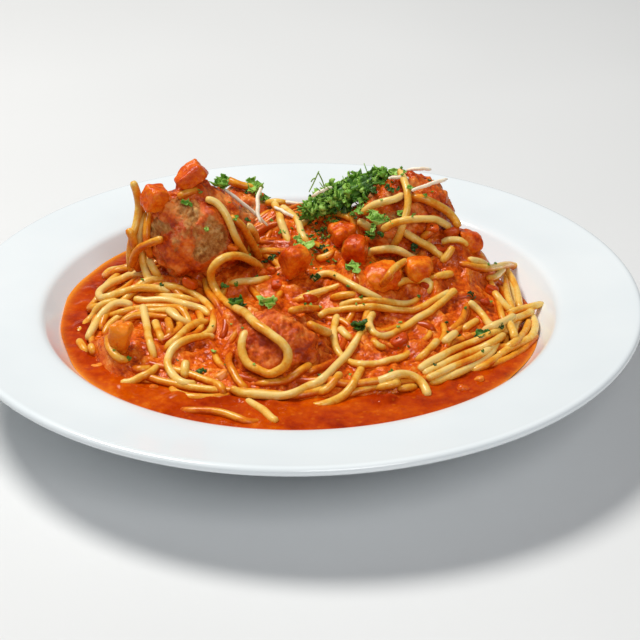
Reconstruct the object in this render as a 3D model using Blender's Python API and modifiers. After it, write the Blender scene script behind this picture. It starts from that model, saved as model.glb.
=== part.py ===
"""Spaghetti and meatballs in tomato sauce, on a wide-rimmed white pasta plate.

Metres, +Z up. The origin is the middle of the plate's foot, on the surface it stands on; -Y is the near side.
The heap is one node: a bare core with the strands that show fused on. Meatballs, tomato pieces, parsley and
cheese shreds are nodes of their own, which lie on the core, on the strands or on each other.
"""

import math
import random

import bmesh
import bpy
import numpy as np
from mathutils import Matrix, Vector
from mathutils.bvhtree import BVHTree

# Plate, from the foot up
RIM_RADIUS = 0.135
RIM_HEIGHT = 0.037
BREAK_RADIUS = 0.1025
BREAK_HEIGHT = 0.033
FLOOR_RADIUS = 0.072
FLOOR_HEIGHT = 0.009
FOOT_RADIUS = 0.062
FOOT_WIDTH = 0.004
FOOT_RISE = 0.003
WALL = 0.0045
TURNED_STEPS = 48

# Sauce and heap
SAUCE_LEVEL = 0.0255
GAP = 0.0004
HEAP_MIDDLE = (0.000, -0.002)
HEAP_HALF = (0.089, 0.070)
HEAP_SQUARENESS = 2.4
EDGE_LIFT = 0.0040
SWELLS = (
    # middle x and y, spread along x and y, height: the ridge under the back balls, the bank at the right,
    # the twirl at the left and the hump between the back balls
    (0.004, 0.030, 0.060, 0.037, 0.0125),
    (0.061, 0.014, 0.011, 0.012, 0.0080),
    (-0.060, -0.010, 0.022, 0.022, 0.0015),
    (0.008, 0.043, 0.022, 0.012, 0.0090),
)
CORE_STEPS = 36

# Strands of cooked spaghetti
STRAND_RADIUS = 0.00150
STRAND_STEP = 0.0064
STRAND_BITE = 0.40
MAP_CELL = 0.001
MAP_HALF = 0.110

# Where the strands that stand out lie on the plan, in mm: the points each one passes over
TWIRL_STRANDS = {
    "twirl_outer": ((-86, -30), (-86, -15), (-77, -5), (-66, -2), (-54, -6)),
    "twirl_inner": ((-80, -34), (-76, -18), (-69, -8), (-57, -8)),
    "twirl_back": ((-79, 14), (-66, 19), (-53, 16), (-40, 5), (-33, -11)),
    "twirl_return": ((-82, 4), (-74, 8), (-60, 11), (-50, 8), (-38, -3), (-31, -16)),
    "twirl_straight": ((-66, -2), (-54, -1), (-41, -4), (-30, -12)),
    "twirl_down": ((-62, -10), (-59, -30), (-53, -50)),
    "twirl_short": ((-52, -10), (-41, -24)),
    "twirl_foot": ((-67, -60), (-58, -61), (-50, -53)),
    "loop_left": ((-28, -32), (-40, -33), (-49, -43), (-51, -55), (-44, -64), (-34, -66)),
    "loop_left_under": ((-47, -66), (-37, -71), (-22, -71)),
}
FRONT_STRANDS = {
    "front_end": ((-24, -65), (-19, -72), (-9, -84)),
    "front_under": ((2, -77), (14, -74), (24, -63), (27, -50)),
    "front_long": ((-26, -67), (-13, -71), (-1, -70), (9, -65), (17, -53), (23, -42)),
    "front_down": ((13, -23), (13, -38), (19, -53), (30, -57), (41, -51)),
    "front_hook": ((26, -63), (36, -56), (45, -60), (48, -71)),
    "middle_long": ((8, -31), (20, -26), (30, -24), (42, -26), (52, -22), (60, -12)),
    "middle_behind": ((-4, -26), (10, -22), (26, -19), (44, -22)),
    "middle_cup": ((28, -25), (28, -37), (34, -43), (44, -39), (53, -28), (62, -12)),
    "middle_slope": ((6, -2), (18, -6), (32, -12), (44, -16)),
    "middle_low": ((-2, -13), (10, -10), (24, -6)),
}
RIGHT_STRANDS = {
    "bundle_first": ((45, -56), (60, -47), (74, -37), (82, -26), (84, -15)),
    "bundle_second": ((48, -60), (63, -51), (77, -40), (85, -29)),
    "bundle_third": ((52, -64), (66, -55), (77, -46), (83, -36)),
    "right_outer": ((68, -53), (81, -43), (88, -29), (89, -13)),
    "right_short": ((64, -14), (70, -22), (76, -26)),
    "right_edge": ((80, 20), (84, 8), (84, -6)),
    "right_inner": ((72, 22), (77, 8), (78, -8)),
    "tip_upper": ((64, 30), (78, 27), (91, 22)),
    "tip_lower": ((74, -6), (84, -8), (95, -4)),
    "right_flat": ((42, -8), (50, -9), (57, -4)),
}
# Where the strands that hang over the meatballs run, in mm: plan position and height
DRAPED_STRANDS = {
    "over_left_ball": ((-35, 16, 69), (-32, 15, 67), (-28, 11, 61), (-26, 9, 54), (-22, 8, 46), (-19, 7, 40)),
    "over_left_low": ((-28, 13, 63), (-21, 16, 55), (-19, 17, 47), (-16, 14, 40)),
    "over_right_ball": ((47, 33, 71), (46, 24, 69), (44, 17, 63), (43, 13, 55), (39, 11, 46), (36, 6, 37)),
    "over_right_across": ((27, 20, 49), (35, 15, 58), (43, 15, 61), (54, 17, 59), (60, 22, 54)),
    "over_right_high": ((30, 23, 62), (36, 21, 67), (46, 24, 70)),
    "over_right_side": ((46, 24, 69), (54, 24, 66), (60, 24, 59)),
    "saddle": ((-9, 46, 49), (-8, 35, 47), (-3, 24, 41)),
    "arch_right": ((22, 3, 37), (28, 10, 45), (39, 10, 45), (49, 4, 36)),
    "double_bend": (
        (-15, 3, 42),
        (-22, 8, 46),
        (-31, 3, 46),
        (-35, 0, 41),
        (-33, -4, 37),
        (-27, -9, 37),
        (-20, -20, 38),
        (-17, -36, 44),
        (-14, -45, 46),
        (-9, -51, 44),
        (-5, -54, 40),
        (-5, -57, 34),
        (-8, -58, 30),
        (-13, -57, 28),
        (-19, -54, 29),
        (-23, -49, 33),
        (-24, -43, 37),
    ),
}
# Strands that stand up against the left ball: their lower and upper ends, in mm, and how far the middle bows out
STANDING_STRANDS = {
    "standing_tall": ((-72, 10, 30), (-68, 27, 72), 1.5),
    "standing_pale": ((-66, 8, 31), (-65, 18, 60), 2.0),
    "standing_stub": ((-75, 6, 30), (-73, 15, 51), 0.5),
    "standing_slant": ((-71, 6, 33), (-60, 2, 48), 1.0),
}

# Meatballs: middle x, y, z and radius
MEATBALLS = {
    "meatball_left": (-0.0415, 0.022, 0.0500, 0.0203),
    "meatball_back": (-0.0270, 0.0595, 0.0350, 0.0188),
    "meatball_right": (0.0430, 0.034, 0.0500, 0.0203),
    "meatball_front": (-0.0080, -0.042, 0.0305, 0.0160),
}
MEAT_RELIEF = 0.0007
MEAT_SIDES = 16

# Tomato pieces: middle x, y, the three half sizes, and a turn about each axis in degrees. All in mm.
TOMATOES = {
    "tomato_top": (-42.5, 20, 6.4, 4.6, 4.4, 10, -28, 20),
    "tomato_shoulder": (-58, 14, 4.8, 4.6, 5.4, 0, 20, 35),
    "tomato_middle": (-2, 3, 5.6, 5.2, 6.6, 15, 10, 10),
    "tomato_pair_back": (17, 23, 5.4, 4.6, 4.4, -10, -8, 15),
    "tomato_pair_front": (22, 10, 5.0, 4.6, 5.0, 20, 0, -20),
    "tomato_right": (69, 20, 4.6, 4.6, 4.8, 0, -10, 15),
    "tomato_round": (33, -3.5, 7.6, 6.2, 4.2, 18, 0, 0),
    "tomato_slope": (47.5, -0.5, 5.2, 4.8, 4.0, 0, 12, 8),
    "tomato_left_low": (-67, -42, 4.4, 4.8, 6.2, 0, 10, -15),
}

# Parsley: a bank of leaves from the saddle up the side of the right ball, and single leaves on the heap. In mm.
PILE_MIDDLE = (19.5, 38.5, 60)
PILE_HALF = (20, 8, 5.2)
PILE_TILT = 27
PILE_LEAVES = 7
LEAF_THICKNESS = 0.0006
SINGLE_LEAVES = {
    # middle x, y, width, turn in degrees
    "parsley_leaf_middle": (-11, -16, 8.5, 60),
    "parsley_leaf_left": (-25, -18, 6.0, 110),
    "parsley_leaf_front": (24, -34, 6.5, 60),
    "parsley_leaf_slope": (21, -5, 6.5, 200),
    "parsley_leaf_right": (72, -31, 7.0, 15),
    "parsley_leaf_ball": (-31, 32, 7.0, 75),
    "parsley_leaf_saddle": (-19, 61, 8.0, 30),
    "parsley_leaf_heap": (0.5, 20, 8.0, 150),
    "parsley_leaf_fold": (30, 12, 8.0, 10),
}

# Cheese shreds: middle x, y, length in mm, turn in degrees about Z, and how much the strip tips at its far end
SHREDS = {
    "cheese_shred_long": (-22, 31, 25, 0, 43),
    "cheese_shred_cross": (-17.5, 34, 17, -90, 35),
    "cheese_shred_saddle": (-5, 52, 22, -12, 0),
    "cheese_shred_saddle_low": (-7, 41, 12, -40, 10),
    "cheese_shred_bank": (9, 34, 9, 15, -20),
    "cheese_shred_peak": (49, 39, 10, 5, 0),
    "cheese_shred_top": (40, 29, 8, 0, 0),
    "cheese_shred_right": (53, 23, 19, 38, 0),
}
SHRED_WIDTH = 0.0016
SHRED_THICKNESS = 0.0008

# Spacing of the spots at which a dropped piece feels for the pile
DROP_STEP = 0.0005

COLOURS = {
    # sRGB, then roughness
    "glazed_porcelain": ((0.93, 0.94, 0.95), 0.12),
    "tomato_sauce": ((0.78, 0.26, 0.05), 0.15),
    "cooked_pasta": ((0.90, 0.70, 0.36), 0.35),
    "minced_meat": ((0.50, 0.27, 0.15), 0.55),
    "diced_tomato": ((0.82, 0.25, 0.09), 0.20),
    "parsley": ((0.20, 0.42, 0.12), 0.50),
    "hard_cheese": ((0.93, 0.85, 0.70), 0.50),
}


def clear_scene():
    """Removes whatever the file opened with."""
    for old in list(bpy.data.objects):
        bpy.data.objects.remove(old)


def make_collection(name, hidden=False):
    made = bpy.data.collections.new(name)
    bpy.context.scene.collection.children.link(made)
    made.hide_render = hidden
    return made


def to_linear(channel):
    """One sRGB channel as linear light."""
    return channel / 12.92 if channel <= 0.04045 else ((channel + 0.055) / 1.055) ** 2.4


def make_material(name):
    """A Principled surface with the named colour and roughness."""
    colour, roughness = COLOURS[name]
    made = bpy.data.materials.new(name)
    made.use_nodes = True
    shader = made.node_tree.nodes["Principled BSDF"]
    shader.inputs["Base Color"].default_value = (*map(to_linear, colour), 1)
    shader.inputs["Roughness"].default_value = roughness
    shader.inputs["Metallic"].default_value = 0
    return made


def add_object(name, mesh, material, collection):
    made = bpy.data.objects.new(name, mesh)
    collection.objects.link(made)
    if material is not None:
        mesh.materials.clear()
        mesh.materials.append(material)
    return made


def evaluated_mesh(obj):
    """The object's mesh with its modifiers applied, as new data."""
    bpy.context.view_layer.update()
    graph = bpy.context.evaluated_depsgraph_get()
    return bpy.data.meshes.new_from_object(obj.evaluated_get(graph))


def apply_modifiers(obj):
    mesh = evaluated_mesh(obj)
    obj.modifiers.clear()
    obj.data = mesh


def arc(centre, radius, start, end, steps):
    """Points of a circular arc in a profile's plane, with its angles in degrees."""
    angles = np.radians(np.linspace(start, end, steps))
    return [(centre[0] + radius * math.cos(a), centre[1] + radius * math.sin(a)) for a in angles]


def turned_object(name, profile, material, collection):
    """A profile of (radius, height) points turned about Z. It runs down the outer side, top to bottom."""
    mesh = bpy.data.meshes.new(name)
    points = [(radius, 0, height) for radius, height in profile]
    mesh.from_pydata(points, [(i, i + 1) for i in range(len(points) - 1)], [])
    made = add_object(name, mesh, material, collection)
    screw = made.modifiers.new("turn", "SCREW")
    screw.steps = screw.render_steps = TURNED_STEPS
    screw.use_merge_vertices = True
    screw.merge_threshold = 0.00005
    screw.use_normal_calculate = True
    apply_modifiers(made)
    made.data.shade_smooth()
    return made


def wall_points():
    """The well's wall as (radius, height) points: it leaves the floor in a curve and steepens to the break."""
    points = []
    for share in (0, 0.05, 0.18, 0.42, 0.70, 1):
        radius = FLOOR_RADIUS + (BREAK_RADIUS - FLOOR_RADIUS) * share**0.65
        points.append((radius, FLOOR_HEIGHT + share * (BREAK_HEIGHT - FLOOR_HEIGHT)))
    return points


def well_wall(height):
    """Radius of the plate's well at a height."""
    radii, heights = zip(*wall_points())
    return float(np.interp(height, heights, radii))


def plate_profile():
    """The eating side from the middle of the floor to the rim, the rolled edge, and the underside to the foot."""
    top = [(0, FLOOR_HEIGHT)] + wall_points()[:-1]
    shoulder = [(BREAK_RADIUS - 0.0004, BREAK_HEIGHT - 0.0010), (BREAK_RADIUS + 0.0016, BREAK_HEIGHT + 0.0003)]
    middle = [(0.5 * (BREAK_RADIUS + RIM_RADIUS), BREAK_HEIGHT + 0.4 * (RIM_HEIGHT - BREAK_HEIGHT))]
    edge_radius = 0.5 * WALL * 0.8
    edge = arc((RIM_RADIUS - edge_radius, RIM_HEIGHT - edge_radius), edge_radius, 95, -85, 4)
    under_rim = [(BREAK_RADIUS + 0.004, BREAK_HEIGHT - WALL)]
    under_wall = [(well_wall(h) + WALL * 0.7, h - WALL * 0.8) for h in (0.026, 0.016)]
    outer_foot = [(FOOT_RADIUS + FOOT_WIDTH + 0.003, FLOOR_HEIGHT - WALL), (FOOT_RADIUS + FOOT_WIDTH, 0)]
    inner_foot = [(FOOT_RADIUS, 0), (FOOT_RADIUS - 0.002, FOOT_RISE), (0, FOOT_RISE)]
    return top + shoulder + middle + edge + under_rim + under_wall + outer_foot + inner_foot


def outline_radius(angle):
    """The heap's footprint along a direction, in shares of its two half sizes: a squarish round, slightly uneven."""
    square = (np.abs(np.cos(angle)) ** HEAP_SQUARENESS + np.abs(np.sin(angle)) ** HEAP_SQUARENESS) ** (
        -1 / HEAP_SQUARENESS
    )
    return square * (1 + 0.018 * np.sin(3 * angle + 0.9) + 0.014 * np.sin(5 * angle + 2.0))


def heap_share(x, y):
    """How far out a point lies: 0 in the middle of the heap and 1 on its footprint. Works on arrays."""
    across = (x - HEAP_MIDDLE[0]) / HEAP_HALF[0]
    along = (y - HEAP_MIDDLE[1]) / HEAP_HALF[1]
    return np.hypot(across, along) / outline_radius(np.arctan2(along, across))


def bed_height(x, y):
    """Height of the bare core's top: a low edge all round, and broad swells on it. Works on arrays."""
    inward = np.clip(1 - heap_share(x, y), 0, 1)
    height = SAUCE_LEVEL + EDGE_LIFT * (1 - np.exp(-inward / 0.05))
    for middle_x, middle_y, spread_x, spread_y, swell in SWELLS:
        far = ((x - middle_x) / spread_x) ** 2 + ((y - middle_y) / spread_y) ** 2
        height = height + swell * np.exp(-far / 2) * np.clip(4.5 * inward, 0, 1)
    return height


def core_mesh(name, grow=0.0):
    """The bare core as rings about its middle: up the side from the plate's floor, then over the dome."""
    foot_share = 0.74
    side = [(foot_share * 0.5, FLOOR_HEIGHT), (foot_share, FLOOR_HEIGHT), (0.95, SAUCE_LEVEL - 0.006)]
    dome = [0.995, 0.95, 0.88, 0.79, 0.69, 0.58, 0.47, 0.36, 0.25, 0.13]
    angles = np.linspace(0, 2 * math.pi, CORE_STEPS, endpoint=False)
    rings = []
    for share, height in side + [(share, None) for share in dome]:
        radius = share * outline_radius(angles)
        x = HEAP_MIDDLE[0] + (HEAP_HALF[0] * radius + grow * min(1, 2 * share)) * np.cos(angles)
        y = HEAP_MIDDLE[1] + (HEAP_HALF[1] * radius + grow * min(1, 2 * share)) * np.sin(angles)
        level = bed_height(x, y) + grow if height is None else height + GAP + 0 * x
        rings.append(np.stack([x, y, level], 1))
    bed = bmesh.new()
    verts = [[bed.verts.new(p) for p in ring] for ring in rings]
    low = bed.verts.new((*HEAP_MIDDLE, FLOOR_HEIGHT + GAP))
    top = bed.verts.new((*HEAP_MIDDLE, float(bed_height(*HEAP_MIDDLE)) + grow))
    for i in range(CORE_STEPS):
        j = (i + 1) % CORE_STEPS
        bed.faces.new((low, verts[0][j], verts[0][i]))
        bed.faces.new((top, verts[-1][i], verts[-1][j]))
        for inner, outer in zip(verts, verts[1:]):
            bed.faces.new((inner[i], inner[j], outer[j], outer[i]))
    mesh = bpy.data.meshes.new(name)
    bmesh.ops.recalc_face_normals(bed, faces=bed.faces)
    bed.to_mesh(mesh)
    bed.free()
    return mesh


def relief(points, size, seed):
    """Even, seeded lumpiness from -1 to 1 at each point: a sum of waves of about that size, in turned directions."""
    draw = np.random.default_rng(seed)
    total = np.zeros(len(points))
    waves = 14
    for _ in range(waves):
        direction = draw.normal(size=3)
        direction *= 2 * math.pi / (size * np.linalg.norm(direction)) * draw.uniform(0.7, 1.4)
        total += np.sin(points @ direction + draw.uniform(0, 2 * math.pi))
    return np.clip(total / math.sqrt(waves), -1, 1)


def ball_object(name, radius, grow, material, collection, sides=MEAT_SIDES):
    """A meatball about the origin: a ball a little wider than tall, with a lumpy surface."""
    rounded = bmesh.new()
    bmesh.ops.create_uvsphere(rounded, u_segments=sides, v_segments=sides * 2 // 3, radius=1)
    unit = np.array([v.co for v in rounded.verts])
    lumps = relief(unit * radius, 0.011, len(name)) if not grow else 0
    reach = radius + MEAT_RELIEF * lumps + grow
    for vert, co in zip(rounded.verts, unit * np.reshape(reach, (-1, 1))):
        vert.co = co
    mesh = bpy.data.meshes.new(name)
    rounded.to_mesh(mesh)
    rounded.free()
    mesh.shade_smooth()
    return add_object(name, mesh, material, collection)


def add_boolean(obj, operation, other, solver="EXACT"):
    """Cuts or joins obj with another object or a whole collection, and applies it."""
    modifier = obj.modifiers.new(operation.lower(), "BOOLEAN")
    modifier.operation = operation
    modifier.solver = solver
    if isinstance(other, bpy.types.Collection):
        modifier.operand_type = "COLLECTION"
        modifier.collection = other
    else:
        modifier.object = other
    apply_modifiers(obj)


def keep_main_body(obj):
    """Leaves the largest body alone: loose scraps go, and sealed hollows are filled by losing their walls."""
    solid = bmesh.new()
    solid.from_mesh(obj.data)
    solid.faces.ensure_lookup_table()
    seen, bodies = set(), []
    for start in solid.faces:
        if start in seen:
            continue
        body, queue = [], [start]
        seen.add(start)
        while queue:
            face = queue.pop()
            body.append(face)
            for edge in face.edges:
                for neighbour in edge.link_faces:
                    if neighbour not in seen:
                        seen.add(neighbour)
                        queue.append(neighbour)
        bodies.append(body)
    bodies.sort(key=len)
    for body in bodies[:-1]:
        bmesh.ops.delete(solid, geom=body, context="FACES")
    loose = [v for v in solid.verts if not v.link_faces]
    bmesh.ops.delete(solid, geom=loose, context="VERTS")
    solid.to_mesh(obj.data)
    solid.free()


class HeapMap:
    """Height of the pile over a square grid, which rises as each strand is laid."""

    def __init__(self):
        self.axis = np.arange(-MAP_HALF, MAP_HALF + MAP_CELL / 2, MAP_CELL)
        x, y = np.meshgrid(self.axis, self.axis, indexing="ij")
        self.height = bed_height(x, y)
        self.height[heap_share(x, y) > 1] = SAUCE_LEVEL
        reach = math.ceil(STRAND_RADIUS / MAP_CELL)
        offsets = np.arange(-reach, reach + 1)
        self.di, self.dj = (o.ravel() for o in np.meshgrid(offsets, offsets, indexing="ij"))
        far = (self.di**2 + self.dj**2) * MAP_CELL**2
        self.dome = np.sqrt(np.maximum(STRAND_RADIUS**2 - far, 0))

    def cells(self, route):
        """Grid cells under a strand's footprint, one row for each point of its route."""
        i = np.rint((route[:, 0] + MAP_HALF) / MAP_CELL).astype(int)
        j = np.rint((route[:, 1] + MAP_HALF) / MAP_CELL).astype(int)
        most = len(self.axis) - 1
        return np.clip(i[:, None] + self.di, 0, most), np.clip(j[:, None] + self.dj, 0, most)

    def lay(self, route):
        """The strand's middle line when it lies on the pile, eased so that it doesn't kink."""
        i, j = self.cells(route)
        under = (self.height[i, j] + self.dome).max(1)
        for _ in range(2):
            padded = np.pad(under, 1, mode="edge")
            under = np.maximum(under, (padded[:-2] + padded[1:-1] + padded[2:]) / 3)
        afloat = SAUCE_LEVEL + STRAND_RADIUS + GAP
        return np.column_stack([route, np.maximum(under - STRAND_BITE * STRAND_RADIUS, afloat)])

    def stamp(self, points):
        """Raises the pile to the top of a strand."""
        i, j = self.cells(points)
        np.maximum.at(self.height, (i, j), points[:, 2:] + self.dome)


def smooth_route(stations):
    """Even points along a smooth curve through its stations, each of two or three coordinates in mm."""
    stations = np.array(stations, float) / 1000
    ends = np.vstack([2 * stations[0] - stations[1], stations, 2 * stations[-1] - stations[-2]])
    fine = []
    for before, start, end, after in zip(ends, ends[1:], ends[2:], ends[3:]):
        for t in np.linspace(0, 1, 12, endpoint=False):
            bend = (end - before) * t + (2 * before - 5 * start + 4 * end - after) * t**2
            fine.append(start + 0.5 * (bend + (3 * start - before - 3 * end + after) * t**3))
    fine = np.array(fine + [stations[-1]])
    along = np.concatenate([[0], np.cumsum(np.linalg.norm(np.diff(fine, axis=0), axis=1))])
    spots = np.linspace(0, along[-1], max(4, round(along[-1] / STRAND_STEP) + 1))
    return np.column_stack([np.interp(spots, along, column) for column in fine.T])


def push_off_balls(points):
    """Moves points that are in a meatball straight out to its surface, with room for the strand's radius."""
    moved = points.copy()
    for x, y, z, radius in MEATBALLS.values():
        away = moved - (x, y, z)
        far = np.linalg.norm(away, axis=1)
        reach = radius + MEAT_RELIEF + STRAND_RADIUS + 3 * GAP
        inside = far < reach
        moved[inside] = (x, y, z) + away[inside] * (reach / far[inside])[:, None]
    return moved


def standing_points(low, high, bow):
    """A strand that stands up: it starts in the core and bows out sideways a little at half height."""
    share = np.linspace(0, 1, 7)[:, None]
    line = np.array(low) * (1 - share) + np.array(high) * share
    line[:, :1] -= bow * np.sin(math.pi * share)
    return push_off_balls(line / 1000)


def strand_object(name, points, collection):
    """A strand as a round tube along its middle line, six-sided, as a closed mesh."""
    curve = bpy.data.curves.new(name, "CURVE")
    curve.dimensions = "3D"
    curve.bevel_depth = STRAND_RADIUS
    curve.bevel_resolution = 1
    curve.use_fill_caps = True
    spline = curve.splines.new("POLY")
    spline.points.add(len(points) - 1)
    for point, co in zip(spline.points, points):
        point.co = (*co, 1)
    tube = bpy.data.objects.new(name, curve)
    collection.objects.link(tube)
    mesh = evaluated_mesh(tube)
    bpy.data.objects.remove(tube)
    closed = bmesh.new()
    closed.from_mesh(mesh)
    bmesh.ops.remove_doubles(closed, verts=closed.verts, dist=0.00002)
    bmesh.ops.recalc_face_normals(closed, faces=closed.faces)
    closed.to_mesh(mesh)
    closed.free()
    return add_object(name, mesh, None, collection)


def build_heap(material, collection, cutters):
    """The spaghetti node: the core with seats for the meatballs, and the strands fused on."""
    heap = add_object("spaghetti", core_mesh("spaghetti"), material, collection)
    for name, (x, y, z, radius) in MEATBALLS.items():
        seat = ball_object(name + "_seat", radius, MEAT_RELIEF + GAP, None, cutters)
        seat.location = (x, y, z)
        add_boolean(heap, "DIFFERENCE", seat)
    strands = make_collection("strands")
    pile = HeapMap()
    for group in (TWIRL_STRANDS, RIGHT_STRANDS, FRONT_STRANDS):
        for name, stations in group.items():
            points = push_off_balls(pile.lay(smooth_route(stations)))
            pile.stamp(points)
            strand_object(name, points, strands)
    for name, stations in DRAPED_STRANDS.items():
        strand_object(name, push_off_balls(smooth_route(stations)), strands)
    for name, (low, high, bow) in STANDING_STRANDS.items():
        strand_object(name, standing_points(low, high, bow), strands)
    add_boolean(heap, "UNION", strands, solver="EXACT")
    for strand in list(strands.objects):
        bpy.data.objects.remove(strand)
    bpy.data.collections.remove(strands)
    keep_main_body(heap)
    heap.data.materials.clear()
    heap.data.materials.append(material)
    return heap


def tomato_object(name, sizes, material, collection):
    """A diced piece: a cube with rounded edges and slightly uneven sides."""
    cube = bmesh.new()
    bmesh.ops.create_cube(cube, size=2)
    corners = np.array([v.co for v in cube.verts])
    uneven = relief(corners, 2.3, len(name) * 7 + 3)
    for vert, co, share in zip(cube.verts, corners, uneven):
        vert.co = co * np.array(sizes) / 1000 * (1 + 0.14 * share)
    bmesh.ops.bevel(
        cube,
        geom=cube.edges,
        offset=0.42 * min(sizes) / 1000,
        segments=2,
        profile=0.5,
        affect="EDGES",
        clamp_overlap=True,
    )
    mesh = bpy.data.meshes.new(name)
    cube.to_mesh(mesh)
    cube.free()
    mesh.shade_smooth()
    return add_object(name, mesh, material, collection)


def place(obj, location, turn=(0, 0, 0)):
    """Moves and turns an object, and writes its place into its mesh."""
    angles = [math.radians(a) for a in turn]
    placed = Matrix.Translation(location)
    for angle, axis in zip(angles, "XYZ"):
        placed = placed @ Matrix.Rotation(angle, 4, axis)
    obj.data.transform(placed)
    obj.data.update()


def tree_of(objects):
    """A search tree over the surfaces of several objects."""
    points, faces = [], []
    for obj in objects:
        mesh = evaluated_mesh(obj)
        mesh.transform(obj.matrix_world)
        base = len(points)
        points += [v.co.copy() for v in mesh.vertices]
        faces += [[base + i for i in face.vertices] for face in mesh.polygons]
        bpy.data.meshes.remove(mesh)
    return BVHTree.FromPolygons(points, faces), points


def drop_onto(obj, pile):
    """Lowers an object straight down until it lies on the pile, with the usual gap."""
    tree, _ = tree_of(pile)
    own, own_points = tree_of([obj])
    low = Vector(map(min, *own_points))
    high = Vector(map(max, *own_points))
    spots = [(point.x, point.y) for point in own_points]
    columns = np.arange(low.x, high.x, DROP_STEP)
    rows = np.arange(low.y, high.y, DROP_STEP)
    spots += [(float(x), float(y)) for x in columns for y in rows]
    falls = []
    for x, y in spots:
        above = own.ray_cast(Vector((x, y, low.z - 0.01)), (0, 0, 1))[0]
        below = tree.ray_cast(Vector((x, y, 0.2)), (0, 0, -1))[0]
        if above is not None and below is not None:
            falls.append(above.z - below.z)
    obj.data.transform(Matrix.Translation((0, 0, 1.5 * GAP - min(falls))))
    obj.data.update()


def leaf_mesh(name, width, turn, curl):
    """A parsley leaf: a small sheet with three lobes, waved across its width, with its thickness added later."""
    sheet = bmesh.new()
    bmesh.ops.create_grid(sheet, x_segments=4, y_segments=3, size=0.5)
    for vert in sheet.verts:
        along, across = vert.co.x + 0.5, 2 * vert.co.y
        lobes = 0.35 + 0.65 * abs(math.sin(math.pi * (0.18 + 0.82 * along) * 1.5)) ** 0.7
        vert.co = (
            width * (along - 0.5),
            0.5 * width * across * lobes * (1.1 - 0.45 * along),
            width * (0.10 * math.sin(5.5 * across + 3 * along) + curl * across**2),
        )
    bmesh.ops.triangulate(sheet, faces=sheet.faces)
    mesh = bpy.data.meshes.new(name)
    sheet.to_mesh(mesh)
    sheet.free()
    mesh.transform(Matrix.Rotation(math.radians(turn), 4, "Z"))
    return mesh


def thicken(obj):
    """Gives a leaf's sheet its thickness, with both faces split alike."""
    modifier = obj.modifiers.new("thickness", "SOLIDIFY")
    modifier.thickness = LEAF_THICKNESS
    modifier.offset = 0
    apply_modifiers(obj)


def build_parsley_pile(material, collection, cutters):
    """The chopped parsley beside the right meatball: a bank that rises to the right, with leaves fused on."""
    middle = Vector(PILE_MIDDLE) / 1000
    half = Vector(PILE_HALF) / 1000
    bank = ball_object("parsley_pile", 1, 0.001, material, collection, sides=10)
    bank.data.transform(Matrix.Diagonal((*half, 1)))
    place(bank, middle, (0, -PILE_TILT, 0))
    leaves = make_collection("leaves")
    draw = random.Random(3)
    slope = Matrix.Rotation(math.radians(-PILE_TILT), 3, "Y")
    for i in range(PILE_LEAVES):
        leaf = add_object(f"pile_leaf_{i:02d}", leaf_mesh("leaf", draw.uniform(0.0070, 0.0088), 0, 0.3), None, leaves)
        thicken(leaf)
        along = 0.9 * (2 * (i + 0.5) / PILE_LEAVES - 1)
        around = math.radians(draw.uniform(-60, 60) - 15)
        swell = math.sqrt(1 - along**2)
        spot = Vector((half.x * along, half.y * swell * math.sin(around), half.z * swell * math.cos(around)))
        turn = (draw.uniform(-40, 40), draw.uniform(-50, 20), draw.uniform(0, 360))
        place(leaf, middle + slope @ spot, turn)
    add_boolean(bank, "UNION", leaves, solver="EXACT")
    for leaf in list(leaves.objects):
        bpy.data.objects.remove(leaf)
    bpy.data.collections.remove(leaves)
    x, y, z, radius = MEATBALLS["meatball_right"]
    seat = ball_object("pile_seat", radius + MEAT_RELIEF + GAP, 0.0001, None, cutters, sides=24)
    seat.location = (x, y, z)
    add_boolean(bank, "DIFFERENCE", seat)
    keep_main_body(bank)
    return bank


def shred_object(name, length, material, collection):
    """A grated cheese shred: a narrow strip that bows a little along its length, which is in mm."""
    length = length / 1000
    strip = bmesh.new()
    bmesh.ops.create_cube(strip, size=1)
    bmesh.ops.scale(strip, vec=(length, SHRED_WIDTH, SHRED_THICKNESS), verts=strip.verts)
    cuts = 3
    for i in range(1, cuts):
        at = length * (i / cuts - 0.5)
        bmesh.ops.bisect_plane(
            strip,
            geom=strip.verts[:] + strip.edges[:] + strip.faces[:],
            plane_co=(at, 0, 0),
            plane_no=(1, 0, 0),
        )
    for vert in strip.verts:
        share = 2 * vert.co.x / length
        vert.co.y += 0.0012 * share**2
        vert.co.z -= 0.0010 * share**2
    mesh = bpy.data.meshes.new(name)
    strip.to_mesh(mesh)
    strip.free()
    return add_object(name, mesh, material, collection)


def build_sauce(material, collection, cutters):
    """The sauce that fills the well round the heap, up to its level, a gap clear of plate and core."""
    wall = [(radius, height) for radius, height in wall_points() if height < SAUCE_LEVEL]
    wall = [(well_wall(SAUCE_LEVEL), SAUCE_LEVEL)] + wall[::-1]
    side = [(radius - 1.5 * GAP, max(height, FLOOR_HEIGHT + GAP)) for radius, height in wall]
    profile = [(0, SAUCE_LEVEL)] + side + [(0, FLOOR_HEIGHT + GAP)]
    sauce = turned_object("sauce_pool", profile, material, collection)
    hollow = add_object("core_cutter", core_mesh("core_cutter", grow=GAP), None, cutters)
    for vert in hollow.data.vertices:
        if vert.co.z < FLOOR_HEIGHT + 0.001:
            vert.co.z = FLOOR_HEIGHT - 0.002
    add_boolean(sauce, "DIFFERENCE", hollow)
    for name, (x, y, z, radius) in MEATBALLS.items():
        if z - radius - MEAT_RELIEF < SAUCE_LEVEL:
            seat = ball_object(name + "_dip", radius, MEAT_RELIEF + GAP, None, cutters)
            seat.location = (x, y, z)
            add_boolean(sauce, "DIFFERENCE", seat)
    return sauce


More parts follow.
